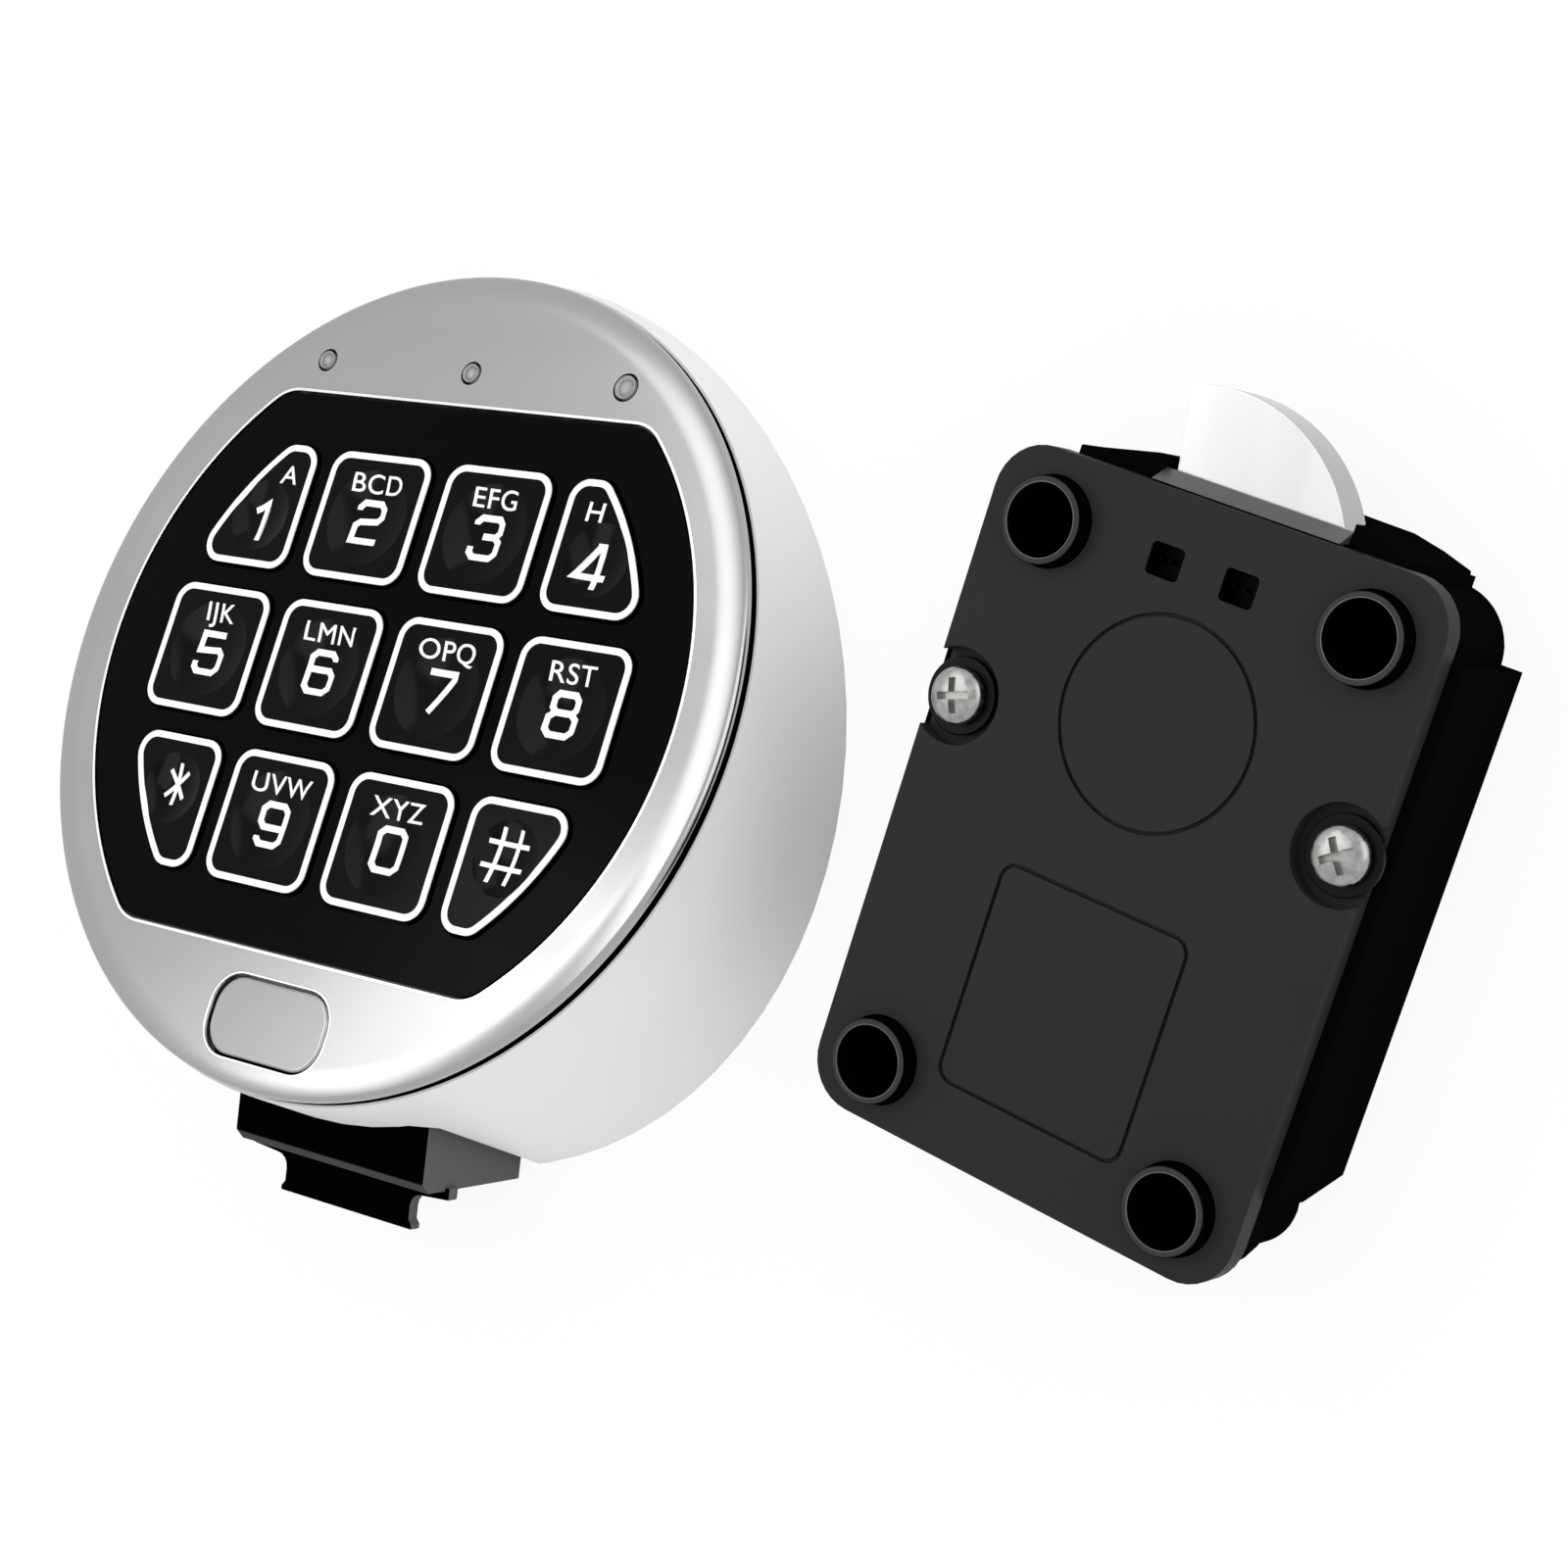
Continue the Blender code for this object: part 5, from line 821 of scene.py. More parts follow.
def zinc_plate():
    # Steel turned and zinc plated: cool bright grey with faint cloudy patches
    shade = bpy.context.scene.lock_colours.zinc
    return finish("zinc_plated_turned_steel", shade, 0.27, 1.0, 0.5, 0.0, 0.003, 0.12, 0.08, 0.0005, 0.000004)


def rolled_steel():
    # Cold-rolled steel sheet: rolling streaks along X, dull shine
    return finish("cold_rolled_steel_sheet", linear("A9ABAE"), 0.38, 1.0, 0.5, 0.0, 0.012, 0.08, 0.08, 0.0012,
                  0.000004, (0.1, 1.0, 1.0))


def drawer_moulding():
    # The same black ABS with no reflection of its own: its upright sides are painted a mid grey, a painted reflection
    # of the pale floor and sky
    shade = bpy.context.scene.lock_colours.drawer
    return finish("black_abs_painted_side_reflection", shade, 0.5, 0.0, 0.0, 0.0, 0.01, 0.12, 0.06, 0.0005, 0.000006,
                  sides=linear("5E5E60"))


def black_moulding():
    # ABS moulded against a fine spark-eroded tool, grain about 0.5 mm
    shade = bpy.context.scene.lock_colours.drawer
    return finish("spark_textured_black_abs", shade, 0.4, 0.0, 0.03, 0.0, 0.01, 0.12, 0.06, 0.0005, 0.000006)


def battery_film():
    # Printed film shrunk over the battery's steel can, left plain
    return finish("shrunk_grey_battery_film", linear("6E7174"), 0.3, 0.2, 0.5, 0.3, 0.02, 0.05, 0.05, 0.002, 0.000004)


def charcoal_coat():
    # Die-cast zinc with a satin charcoal powder coat: grain about 0.7 mm, drawn as coarse as it needs to show
    shade = bpy.context.scene.lock_colours.cover
    return finish("charcoal_powder_coat", shade, 0.5, 0.0, 0.09, 0.0, 0.018, 0.06, 0.05, 0.0007, 0.00001)


def black_coat():
    # The case has the same powder coat in black
    shade = bpy.context.scene.lock_colours.case
    return finish("black_powder_coat", shade, 0.45, 0.0, 0.0, 0.0, 0.018, 0.06, 0.05, 0.0007, 0.00001)


def dull_screw():
    # A pressed screw head, zinc plated and handled: grey with bright and dark marks about 1 mm across
    return finish("zinc_plated_pressed_head", linear("A2A2A0"), 0.3, 1.0, 0.5, 0.0, 0.0011, 0.55, 0.12, 0.0005, 0.00002)


def sleeve_coat():
    # Turned tube, charcoal grey like the cover on the faces that look up; its side faces take the sleeves' near-black
    # colour, which is painted shade
    colours = bpy.context.scene.lock_colours
    return finish("turned_tube_painted_side_shade", linear("3C3C3E"), 0.4, 0.0, 0.0, 0.0, 0.006, 0.15, 0.06, 0.0006,
                  0.000003, sides=tuple(colours.sleeve))


def washer_oxide():
    # Pressed washer in black oxide, slightly glossy
    shade = bpy.context.scene.lock_colours.sleeve
    return finish("black_oxide_pressed_washer", shade, 0.35, 0.0, 0.12, 0.0, 0.003, 0.15, 0.06, 0.0006, 0.000003)


def groove_shadow_finish():
    # A black band in the groove under the ring's rim: painted shadow, a black that stands in for the shade in the
    # groove
    return finish("painted_groove_shadow", linear("030303"), 0.9, 0.0, 0.0, 0.0, 0.004, 0.1, 0.05, 0.0004, 0.00002)


def bare_casting():
    # Bare zinc left by a cutter at the edge of the coat: dull mid grey with short scratches across
    return finish("milled_zinc_edge", linear("606062"), 0.4, 0.7, 0.4, 0.0, 0.002, 0.25, 0.08, 0.0005, 0.00001,
                  (0.3, 1.0, 1.0))


def cut_chamfer():
    # Aluminium chamfer cut with a diamond tool: near white, mirror-like, with very fine turning lines
    return finish("diamond_cut_aluminium", linear("F4F5F6"), 0.24, 1.0, 0.5, 0.0, 0.01, 0.03, 0.03, 0.0004, 0.000001)


def polished_steel():
    # Bolt steel, its top ground and polished near white with faint lines along it; its sides are a darker grey, painted
    # shade on the faces that don't look up
    shade = bpy.context.scene.lock_colours.bolt
    return finish("polished_bolt_steel", shade, 0.2, 1.0, 0.5, 0.0, 0.02, 0.02, 0.05, 0.0012, 0.0000015,
                  (1.0, 0.1, 1.0), linear("AEAEB0"))


def copper_wire():
    # Enamelled copper wire: warm brown with a lacquer shine
    return finish("enamelled_copper_wire", linear("A4562B"), 0.28, 1.0, 0.5, 0.5, 0.004, 0.12, 0.05, 0.0008, 0.000003)


def cream_nylon():
    # Nylon connector housing: cream, slightly waxy
    return finish("moulded_cream_nylon", linear("E6E3D6"), 0.42, 0.0, 0.4, 0.0, 0.004, 0.04, 0.05, 0.0006, 0.000004)


def green_board():
    """Solder mask over glass fibre: green, with lighter copper tracks about 1 mm apart showing through."""
    name = "green_solder_mask"
    found = bpy.data.materials.get(name)
    if found:
        return found
    shade = bpy.context.scene.lock_colours.board
    material = finish(name, shade, 0.32, 0.0, 0.5, 0.2, 0.01, 0.08, 0.04, 0.0006, 0.000004)
    tree = material.node_tree
    shader = tree.nodes["Principled BSDF"]
    place = add_node(tree, "ShaderNodeTexCoord").outputs["Object"]
    tracks = add_node(
        tree,
        "ShaderNodeTexBrick",
        {
            "Vector": place,
            "Color1": (0.0, 0.0, 0.0, 1.0),
            "Color2": (0.0, 0.0, 0.0, 1.0),
            "Mortar": (1.0, 1.0, 1.0, 1.0),
            "Scale": 1.0,
            "Mortar Size": 0.00022,
            "Brick Width": 0.0068,
            "Row Height": 0.0021,
        },
    ).outputs["Fac"]
    base = shader.inputs["Base Color"].links[0].from_socket
    lit = add_node(tree, "ShaderNodeMix", data_type="RGBA")
    tree.links.new(tracks, lit.inputs[0])
    tree.links.new(base, lit.inputs[6])
    lit.inputs[7].default_value = linear("4C9A63")
    tree.links.new(lit.outputs[2], shader.inputs["Base Color"])
    return material


# Places


def foot_place(keypad):
    return Matrix.Translation((keypad.foot_x, keypad.foot_y, 0.0))


def face_place(keypad):
    forward = Matrix.Translation((0.0, keypad.face_forward, keypad.face_height))
    return foot_place(keypad) @ forward @ Matrix.Rotation(-keypad.face_slope, 4, "X")


def panel_outline(keypad, margin):
    return barrel(
        keypad.panel_radius + margin,
        keypad.panel_half_height + margin,
        keypad.panel_corner + margin,
        keypad.panel_middle,
    )


def pad_outline(keypad, margin):
    half_width, half_height = keypad.pad_half_width + margin, keypad.pad_half_height + margin
    return rounded_rectangle(half_width, half_height, keypad.pad_corner + margin, 0.0, keypad.pad_line)


def lock_place(lock):
    return Matrix.Translation((lock.spot_x, lock.spot_y, 0.0)) @ Matrix.Rotation(lock.yaw, 4, "Z")


def lock_holes(lock):
    return [(x * lock.hole_x, y * lock.hole_y) for y in (1, -1) for x in (-1, 1)]


def indicator_spots(keypad):
    return (
        ("left", -keypad.indicator_spacing, keypad.indicator_radius),
        ("centre", 0.0, keypad.indicator_radius),
        ("right", keypad.indicator_spacing, keypad.wide_indicator_radius),
    )


# Keypad


class LOCK_OT_keypad_wall(bpy.types.Operator):
    """Adds the painted wall of the keypad, with the post bosses and the drawer's opening"""

    bl_idname = "lock.keypad_wall"
    bl_label = "Keypad wall"

    def execute(self, context):
        softened("keypad_wall", "keypad_housing", 0.0004, "lock_set", painted_casting(), "silver_paint")
        return {"FINISHED"}


class LOCK_OT_face_ring(bpy.types.Operator):
    """Adds the satin face ring with its rounded rim, and openings cut wide for the bright chamfers"""

    bl_idname = "lock.face_ring"
    bl_label = "Face ring"

    def execute(self, context):
        keypad = context.scene.lock_keypad
        ring = turned(self.profile(keypad), RIM_FLATS)
        openings = [panel_outline(keypad, keypad.opening_edge), pad_outline(keypad, keypad.pad_edge)]
        for _, x, radius in indicator_spots(keypad):
            openings.append(circle(radius + keypad.gap, 32, x, keypad.indicator_line))
        mesh = carved(ring, [(plate([hole], -keypad.ring_thickness, OVERRUN), Matrix()) for hole in openings])
        place = face_place(keypad)
        place_piece("face_ring_satin", mesh, place, "lock_set", satin_metal(), "brushed_aluminium", ("face_ring",))
        return {"FINISHED"}

    def profile(self, keypad):
        """From the middle out: flat, then falling away in a curve that the round edge goes on with."""
        edge = keypad.ring_edge
        steepest = math.radians(14)
        end = keypad.ring_radius - edge * (1 - math.sin(steepest))
        width = end - keypad.crown_start
        drop = math.tan(steepest) * width / 2
        points = [(0.0, 0.0)]
        for step in range(CORNER_FLATS + 1):
            share = step / CORNER_FLATS
            points.append((keypad.crown_start + width * share, -drop * share**2))
        middle = -drop - edge * math.cos(steepest)
        points += arc(edge, QUARTER - steepest, 0.0, CORNER_FLATS, keypad.ring_radius - edge, middle)[1:]
        return points + [(keypad.ring_radius, -keypad.lip_thickness), (0.0, -keypad.lip_thickness)]


class LOCK_OT_ring_groove_shadow(bpy.types.Operator):
    """Adds a black band in the groove between the face ring and the wall: a painted shadow for the groove's shade"""

    bl_idname = "lock.ring_seal"
    bl_label = "Ring groove shadow"

    def execute(self, context):
        keypad = context.scene.lock_keypad
        outlines = [circle(keypad.ring_radius - width, RIM_FLATS) for width in (0.0, keypad.shadow_band_width)]
        mesh = plate(outlines, keypad.shadow_band_bottom, -keypad.lip_thickness)
        place_piece("ring_seal_foam", mesh, face_place(keypad), "lock_set", groove_shadow_finish(), "black_rubber")
        return {"FINISHED"}


class LOCK_OT_panel_chamfer(bpy.types.Operator):
    """Adds the bright cut chamfers round the panel's opening and round the oval pad"""

    bl_idname = "lock.panel_chamfer"
    bl_label = "Panel chamfer"

    def execute(self, context):
        keypad = context.scene.lock_keypad
        rings = (
            ("panel_chamfer_cut", panel_outline(keypad, keypad.opening_edge), panel_outline(keypad, 0.0)),
            ("pad_chamfer_cut", pad_outline(keypad, keypad.pad_edge), pad_outline(keypad, 0.0)),
        )
        for name, *outlines in rings:
            mesh = plate(outlines, -keypad.lip_thickness, 0.0)
            mesh = bevelled(weight_top_edges(mesh, lambda spot: 1.0), keypad.pad_edge / 4, 2, by_weight=True)
            place_piece(name, mesh, face_place(keypad), "lock_set", cut_chamfer(), "brushed_aluminium")
        return {"FINISHED"}


class LOCK_OT_oval_pad(bpy.types.Operator):
    """Adds the plain oval pad in its recess"""

    bl_idname = "lock.oval_pad"
    bl_label = "Oval pad"

    def execute(self, context):
        keypad = context.scene.lock_keypad
        outline = pad_outline(keypad, -keypad.gap)
        mesh = plate([outline], keypad.pad_floor, keypad.pad_floor + keypad.pad_thickness)
        mesh = bevelled(weight_top_edges(mesh, lambda spot: 1.0), keypad.opening_edge, 4, by_weight=True)
        place = face_place(keypad) @ Matrix.Rotation(-keypad.pad_lean, 4, "Y")
        place_piece("oval_pad_satin", mesh, place, "lock_set", satin_metal(), "brushed_aluminium",
                    ("oval_pad",))
        return {"FINISHED"}


class LOCK_OT_indicators(bpy.types.Operator):
    """Adds the three small indicator lenses"""

    bl_idname = "lock.indicators"
    bl_label = "Indicators"

    def execute(self, context):
        keypad = context.scene.lock_keypad
        for label, x, radius in indicator_spots(keypad):
            radius -= keypad.indicator_gap
            ring = radius * 0.62
            profile = [
                (0.0, 0.00025),
                (ring * 0.5, 0.00018),
                (ring, -0.00005),
                (ring + 0.0001, -0.0002),
                (radius * 0.8, 0.0001),
                (radius - 0.0001, 0.0003),
                (radius, 0.0002),
                (radius, -0.0046),
                (0.0, -0.0046),
            ]
            place = face_place(keypad) @ Matrix.Translation((x, keypad.indicator_line, 0.0))
            place_piece("indicator_lens_" + label, turned(profile, 48), place, "lock_set", clear_lens(),
                        "indicator_lens", ("indicator_" + label,), 40.0)
        return {"FINISHED"}


class LOCK_OT_key_panel(bpy.types.Operator):
    """Adds the gloss black panel with its twelve key openings"""

    bl_idname = "lock.key_panel"
    bl_label = "Key panel"

    def execute(self, context):
        keypad, keys = context.scene.lock_keypad, context.scene.lock_keys
        gap = keypad.gap
        outlines = [panel_outline(keypad, -gap)]
        outlines += [key_outline(keys, column, row, gap) for _, _, _, column, row in KEYS]
        mesh = plate(outlines, keypad.panel_bottom, keypad.panel_top)
        mesh = bevelled(weight_top_edges(mesh, lambda spot: 1.0), gap / 2, 2, by_weight=True)
        place_piece("key_panel_gloss", mesh, face_place(keypad), "lock_set", gloss_panel(), "gloss_black_panel",
                    ("keypad_panel",))
        return {"FINISHED"}


def dish_spot(keys, column, row):
    """The centre and radius of the dish in a key. A corner key's is smaller and nearer the middle."""
    x, y = key_middle(keys, column, row)
    if row == 1 or column in (1, 2):
        return x, y, keys.dish_radius
    return (
        x - math.copysign(keys.corner_dish_shift, x),
        y - math.copysign(keys.corner_dish_shift, y),
        keys.corner_dish_radius,
    )


def dish_ball(keys, radius):
    return (radius**2 + keys.dish_depth**2) / (2 * keys.dish_depth)


def key_height(keys, spot, x, y):
    """How high a key's surface is at a point, down in its dish or up on its flat top."""
    middle_x, middle_y, radius = spot
    ball = dish_ball(keys, radius)
    away = math.hypot(x - middle_x, y - middle_y)
    if away >= radius:
        return keys.top
    return keys.top - keys.dish_depth + ball - math.sqrt(ball**2 - away**2)


class LOCK_OT_keys(bpy.types.Operator):
    """Adds the twelve gloss keys with their round dishes"""

    bl_idname = "lock.keys"
    bl_label = "Keys"

    def execute(self, context):
        keypad, keys = context.scene.lock_keypad, context.scene.lock_keys
        place = face_place(keypad)
        for name, _, _, column, row in KEYS:
            cap = plate([key_outline(keys, column, row, 0.0)], keys.bottom, keys.top)
            cap = bevelled(weight_top_edges(cap, lambda spot: 1.0), keys.edge, 3, by_weight=True)
            flange = plate([key_outline(keys, column, row, keys.flange_reach)], keys.bottom, keys.flange_top)
            cap = carved(cap, [(flange, Matrix())], "UNION")
            x, y, radius = dish_spot(keys, column, row)
            ball = dish_ball(keys, radius)
            wide = radius + keys.dish_depth
            steps = 10
            bowl = [(0.0, OVERRUN), (wide, OVERRUN)]
            bowl += [
                (r, ball - keys.dish_depth - math.sqrt(ball**2 - r**2))
                for r in (wide * (1 - step / steps) for step in range(steps + 1))
            ]
            cap = carved(cap, [(turned(bowl, 64), Matrix.Translation((x, y, keys.top)))])
            place_piece(name + "_cap", cap, place, name + "_button", gloss_key(), "gloss_black_key", (name,), 12.0)
        return {"FINISHED"}


def frame_strokes(keys, column, row):
    outer = key_outline(keys, column, row, -keys.frame_inset)
    inner = key_outline(keys, column, row, -keys.frame_inset - keys.frame_width)
    return [outer, inner]


def text_mesh(letters, height):
    """Small flat letters, their middle at the origin."""
    curve = bpy.data.curves.new("letters", "FONT")
    curve.body = letters
    curve.size = height
    curve.align_x = "CENTER"
    curve.space_character = 1.06
    curve.extrude = 0.5
    curve.offset = height * 0.004
    mesh = baked(bpy.data.objects.new("letters", curve))
    low = min(vert.co.y for vert in mesh.vertices)
    high = max(vert.co.y for vert in mesh.vertices)
    mesh.transform(Matrix.Diagonal((1.2, 1.0, 1.0, 1.0)) @ Matrix.Translation((0.0, -(low + high) / 2, 0.0)))
    return merged(mesh)


def laid_on_key(mesh, keys, spot):
    """Cuts flat print small and lays it on the key's surface, as a thin closed film."""
    shape = bmesh.new()
    shape.from_mesh(mesh)
    bmesh.ops.triangulate(shape, faces=shape.faces)
    for _ in range(5):
        long_edges = [
            edge
            for edge in shape.edges
            if edge.calc_length() > 0.0004 and abs(edge.verts[0].co.z - edge.verts[1].co.z) < 0.1
        ]
        if not long_edges:
            break
        bmesh.ops.subdivide_edges(shape, edges=long_edges, cuts=1)
        bmesh.ops.triangulate(shape, faces=shape.faces)
    for vert in shape.verts:
        film = keys.print_height if vert.co.z > 0 else -keys.print_height * 2
        vert.co.z = key_height(keys, spot, vert.co.x, vert.co.y) + film
    shape.to_mesh(mesh)
    shape.free()
    return mesh


class LOCK_OT_key_print(bpy.types.Operator):
    """Adds the white frames, marks and small letters on the keys"""

    bl_idname = "lock.key_print"
    bl_label = "Key print"

    def execute(self, context):
        keypad, keys = context.scene.lock_keypad, context.scene.lock_keys
        place = face_place(keypad)
        joined = union_tree()
        ink = white_print()
        for name, mark, letters, column, row in KEYS:
            spot = dish_spot(keys, column, row)
            x, y = key_middle(keys, column, row)
            shifts = [MM * shift for shift in CORNER_SHIFTS.get(mark, (0.0, 0.0, 0.0, 0.0))]
            size, stroke = SIGN_SHARES.get(mark, (1.0, 1.0))
            width, height = keys.mark_width * size, keys.mark_height * size
            mark_x, mark_y = x + shifts[0], y - keys.mark_drop + shifts[1]
            strokes = bmesh.new()
            slant = 0.10
            for closed, *shares in MARK_STROKE_SHARES[mark]:
                line = [
                    (mark_x + (sx - 0.5) * width + (sy - 0.5) * height * slant * (mark == "#"),
                     mark_y + (sy - 0.5) * height)
                    for sx, sy in shares
                ]
                body = plate(stroke_outlines(line, closed, keys.mark_stroke * stroke), -0.5, 0.5)
                strokes.from_mesh(body)
            mesh = bpy.data.meshes.new("strokes")
            strokes.to_mesh(mesh)
            strokes.free()
            mesh = run_tree(joined, mesh, {"Material": ink})
            film = bmesh.new()
            film.from_mesh(mesh)
            film.from_mesh(plate(frame_strokes(keys, column, row), -0.5, 0.5))
            if letters:
                small = text_mesh(letters, keys.letter_height)
                small.transform(Matrix.Translation((x + shifts[2], y + keys.letter_rise + shifts[3], 0.0)))
                film.from_mesh(small)
            film.to_mesh(mesh)
            film.free()
            mesh = laid_on_key(mesh, keys, spot)
            place_piece(name + "_print", mesh, place, name + "_button", ink, "gloss_black_key", (), 30.0)
        return {"FINISHED"}


class LOCK_OT_battery_drawer(bpy.types.Operator):
    """Adds the black drawer with its pull tab, and the battery in it"""

    bl_idname = "lock.battery_drawer"
    bl_label = "Battery drawer"

    def execute(self, context):
        softened("drawer_tray", "battery_carrier", 0.0002, "battery_drawer", drawer_moulding(), "black_plastic")
        softened("battery_block", "battery", 0.0004, "battery_drawer", battery_film(), "battery_sleeve")
        return {"FINISHED"}


class LOCK_OT_keypad_inside(bpy.types.Operator):
    """Adds what is inside the keypad: mat, board, sounder, socket, contacts, plate and screws"""

    bl_idname = "lock.keypad_inside"
    bl_label = "Keypad inside"

    def execute(self, context):
        softened("rubber_key_mat", "key_mat", 0.0002, "lock_set", matt_rubber(), "black_rubber")
        softened("keypad_circuit_board", "keypad_board", 0.0001, "lock_set", green_board(), "green_circuit_board")
        softened("sounder_can", "sounder", 0.0003, "lock_set", black_moulding(), "black_plastic")
        softened("keypad_cable_inlet", "keypad_cable_socket", 0.0002, "lock_set", cream_nylon(), "cream_plastic")
        softened("battery_contact_block", "battery_contacts", 0.0002, "lock_set", black_moulding(), "black_plastic")
        softened("steel_base_plate", "base_plate", 0.0002, "lock_set", rolled_steel(), "sheet_steel")
        for number in range(1, 5):
            for kind in ("board_screw", "base_screw"):
                node = "%s_%d" % (kind, number)
                softened(node + "_zinc", node, 0.0001, "lock_set", zinc_plate(), "zinc_plated_steel")
        return {"FINISHED"}


# Lock body


class LOCK_OT_lock_case(bpy.types.Operator):
    """Adds the black case behind the cover, its round corner posts and its mouth round the bolt"""

    bl_idname = "lock.lock_case"
    bl_label = "Lock case"

    def execute(self, context):
        lock = context.scene.lock_body
        softened("lock_case_coated", "lock_case", 0.0004, "lock_set", black_coat(), "charcoal_metal", 3)
        posts = []
        for x, y in lock_holes(lock):
            radius = lock.top_corner if y > 0 else lock.foot_corner
            post = plate([circle(radius, ROUND_FLATS, x, y), circle(lock.sleeve_radius + lock.gap, 64, x, y)],
                         lock.gap / 3, lock.case_top - lock.gap / 3)
            posts.append(bevelled(post, lock.gap, 3))
        # The swung-in bolt passes between the two upper posts, so their inner halves are cut away
        reach = lock.hole_x
        swing = boxes((-reach, reach, 0.0, 2 * lock.mouth_end, lock.slot_bottom, 2 * lock.cover_top))
        self.place_black("case_corner_posts", carved(self.joined(posts), [(swing, Matrix())]), lock)
        mouth = plate([MOUTH_OUTLINE], lock.gap / 3, lock.case_top - lock.gap / 3)
        slot = boxes((lock.slot_left, lock.slot_right, 0.0, 2 * lock.mouth_end, lock.slot_bottom, 2 * lock.cover_top))
        self.place_black("case_mouth", bevelled(carved(mouth, [(slot, Matrix())]), lock.gap, 3), lock)
        section = [
            (lock.mouth_start, lock.strip_bottom),
            (lock.strip_end, lock.strip_bottom),
            (lock.strip_end, lock.strip_low),
            (lock.mouth_start, lock.strip_high),
        ]
        bar = plate([section], lock.slot_left, lock.slot_right)
        upright = Matrix(((0, 0, 1, 0), (1, 0, 0, 0), (0, 1, 0, 0), (0, 0, 0, 1)))
        place_piece("case_mouth_bar", bevelled(bar, lock.gap / 2), lock_place(lock) @ upright, "lock_set",
                    bare_casting(), "charcoal_metal")
        return {"FINISHED"}

    def joined(self, meshes):
        shape = bmesh.new()
        for mesh in meshes:
            shape.from_mesh(mesh)
        mesh = bpy.data.meshes.new("joined")
        shape.to_mesh(mesh)
        shape.free()
        return mesh

    def place_black(self, name, mesh, lock):
        place_piece(name, mesh, lock_place(lock), "lock_set", black_coat(), "charcoal_metal")


class LOCK_OT_lock_cover(bpy.types.Operator):
    """Adds the cover with its soft edges, screw recesses and fine engraved lines"""

    bl_idname = "lock.lock_cover"
    bl_label = "Lock cover"

    def execute(self, context):
        lock = context.scene.lock_body
        half_length = (lock.cover_end_top - lock.cover_end_bottom) / 2
        middle = (lock.cover_end_top + lock.cover_end_bottom) / 2
        outlines = [rounded_rectangle(lock.cover_half_width, half_length, lock.cover_corner, 0.0, middle)]
        for x, y in lock_holes(lock):
            outlines.append(circle(lock.sleeve_radius + lock.gap, 64, x, y))
        for x in (lock.socket_left, lock.socket_right):
            outlines.append(self.window(lock, x, 0.0))
        rim_x = lock.cover_half_width - lock.cover_edge
        share = 0.2

        def weight_of(spot):
            near_end = not lock.cover_end_bottom + lock.cover_edge < spot.y < lock.cover_end_top - lock.cover_edge
            corner = math.hypot(
                max(abs(spot.x) - lock.cover_half_width + lock.cover_corner, 0.0),
                max(abs(spot.y - middle) - half_length + lock.cover_corner, 0.0),
            )
            outside = abs(spot.x) > rim_x or near_end or corner > lock.cover_corner - lock.cover_edge / 2
            return 1.0 if outside else share

        mesh = weight_top_edges(plate(outlines, lock.cover_bottom, lock.cover_top), weight_of)
        mesh = bevelled(mesh, lock.cover_edge, 5, by_weight=True)
        above = lock.cover_top + OVERRUN
        cutters = []
        for side in (1, -1):
            spot = Matrix.Translation((side * lock.screw_x, lock.screw_y, 0.0))
            cutters.append((plate([circle(lock.recess_radius, 64)], lock.recess_floor, above), spot))
            cutters.append((plate([circle(lock.screw_hole, 32)], lock.cover_bottom - OVERRUN, above), spot))
        for x in (lock.socket_left, lock.socket_right):
            seat = plate([self.window(lock, x, lock.socket_wall + lock.gap)], lock.cover_bottom - OVERRUN,
                         lock.socket_top + lock.gap / 3)
            cutters.append((seat, Matrix()))
        half = lock.engraving_width / 2
        floor = lock.cover_top - lock.engraving_depth
        rings = [circle(lock.circle_radius + m, ROUND_FLATS, 0.0, lock.circle_line) for m in (half, -half)]
        squares = [
            rounded_rectangle(lock.square_half_x + m, lock.square_half_y + m, lock.square_corner + m, 0.0,
                              lock.square_line)
            for m in (half, -half)
        ]
        cutters += [(plate(rings, floor, above), Matrix()), (plate(squares, floor, above), Matrix())]
        mesh = carved(mesh, cutters)
        place_piece("lock_cover_coated", mesh, lock_place(lock), "lock_set", charcoal_coat(), "charcoal_metal",
                    ("lock_cover",), 40.0)
        return {"FINISHED"}

    def window(self, lock, x, margin):
        """The opening of a cable socket, grown by a margin."""
        half_x, half_y = lock.socket_half_x + margin, lock.socket_half_y + margin
        return rounded_rectangle(half_x, half_y, lock.socket_wall, x, lock.socket_line)


class LOCK_OT_sleeves(bpy.types.Operator):
    """Adds the four black sleeves round the mounting holes"""

    bl_idname = "lock.sleeves"
    bl_label = "Sleeves"

    def execute(self, context):
        lock = context.scene.lock_body
        height = lock.sleeve_top - lock.sleeve_bottom
        points = points_mesh([(x, y, lock.sleeve_bottom + height / 2) for x, y in lock_holes(lock)])
        mesh = run_tree(
            tube_tree(),
            points,
            {
                "Middle radius": (lock.sleeve_radius + lock.sleeve_bore) / 2,
                "Wall": lock.sleeve_radius - lock.sleeve_bore,
                "Height": height,
                "Rim": lock.sleeve_edge,
                "Material": sleeve_coat(),
            },
        )
        place_piece("mounting_sleeves", mesh, lock_place(lock), "lock_set", sleeve_coat(), "black_sleeve",
                    ("sleeve_top_left", "sleeve_top_right", "sleeve_bottom_left", "sleeve_bottom_right"), 60.0)
        width = lock.bore_edge
        rims = run_tree(
            tube_tree(),
            points_mesh([(x, y, lock.sleeve_top) for x, y in lock_holes(lock)]),
            {
                "Middle radius": lock.sleeve_bore + lock.sleeve_edge / 2,
                "Wall": width,
                "Height": width,
                "Rim": width / 3,
                "Material": bare_casting(),
            },
        )
        place_piece("bore_edges_turned", rims, lock_place(lock), "lock_set", bare_casting(), "black_sleeve")
        return {"FINISHED"}


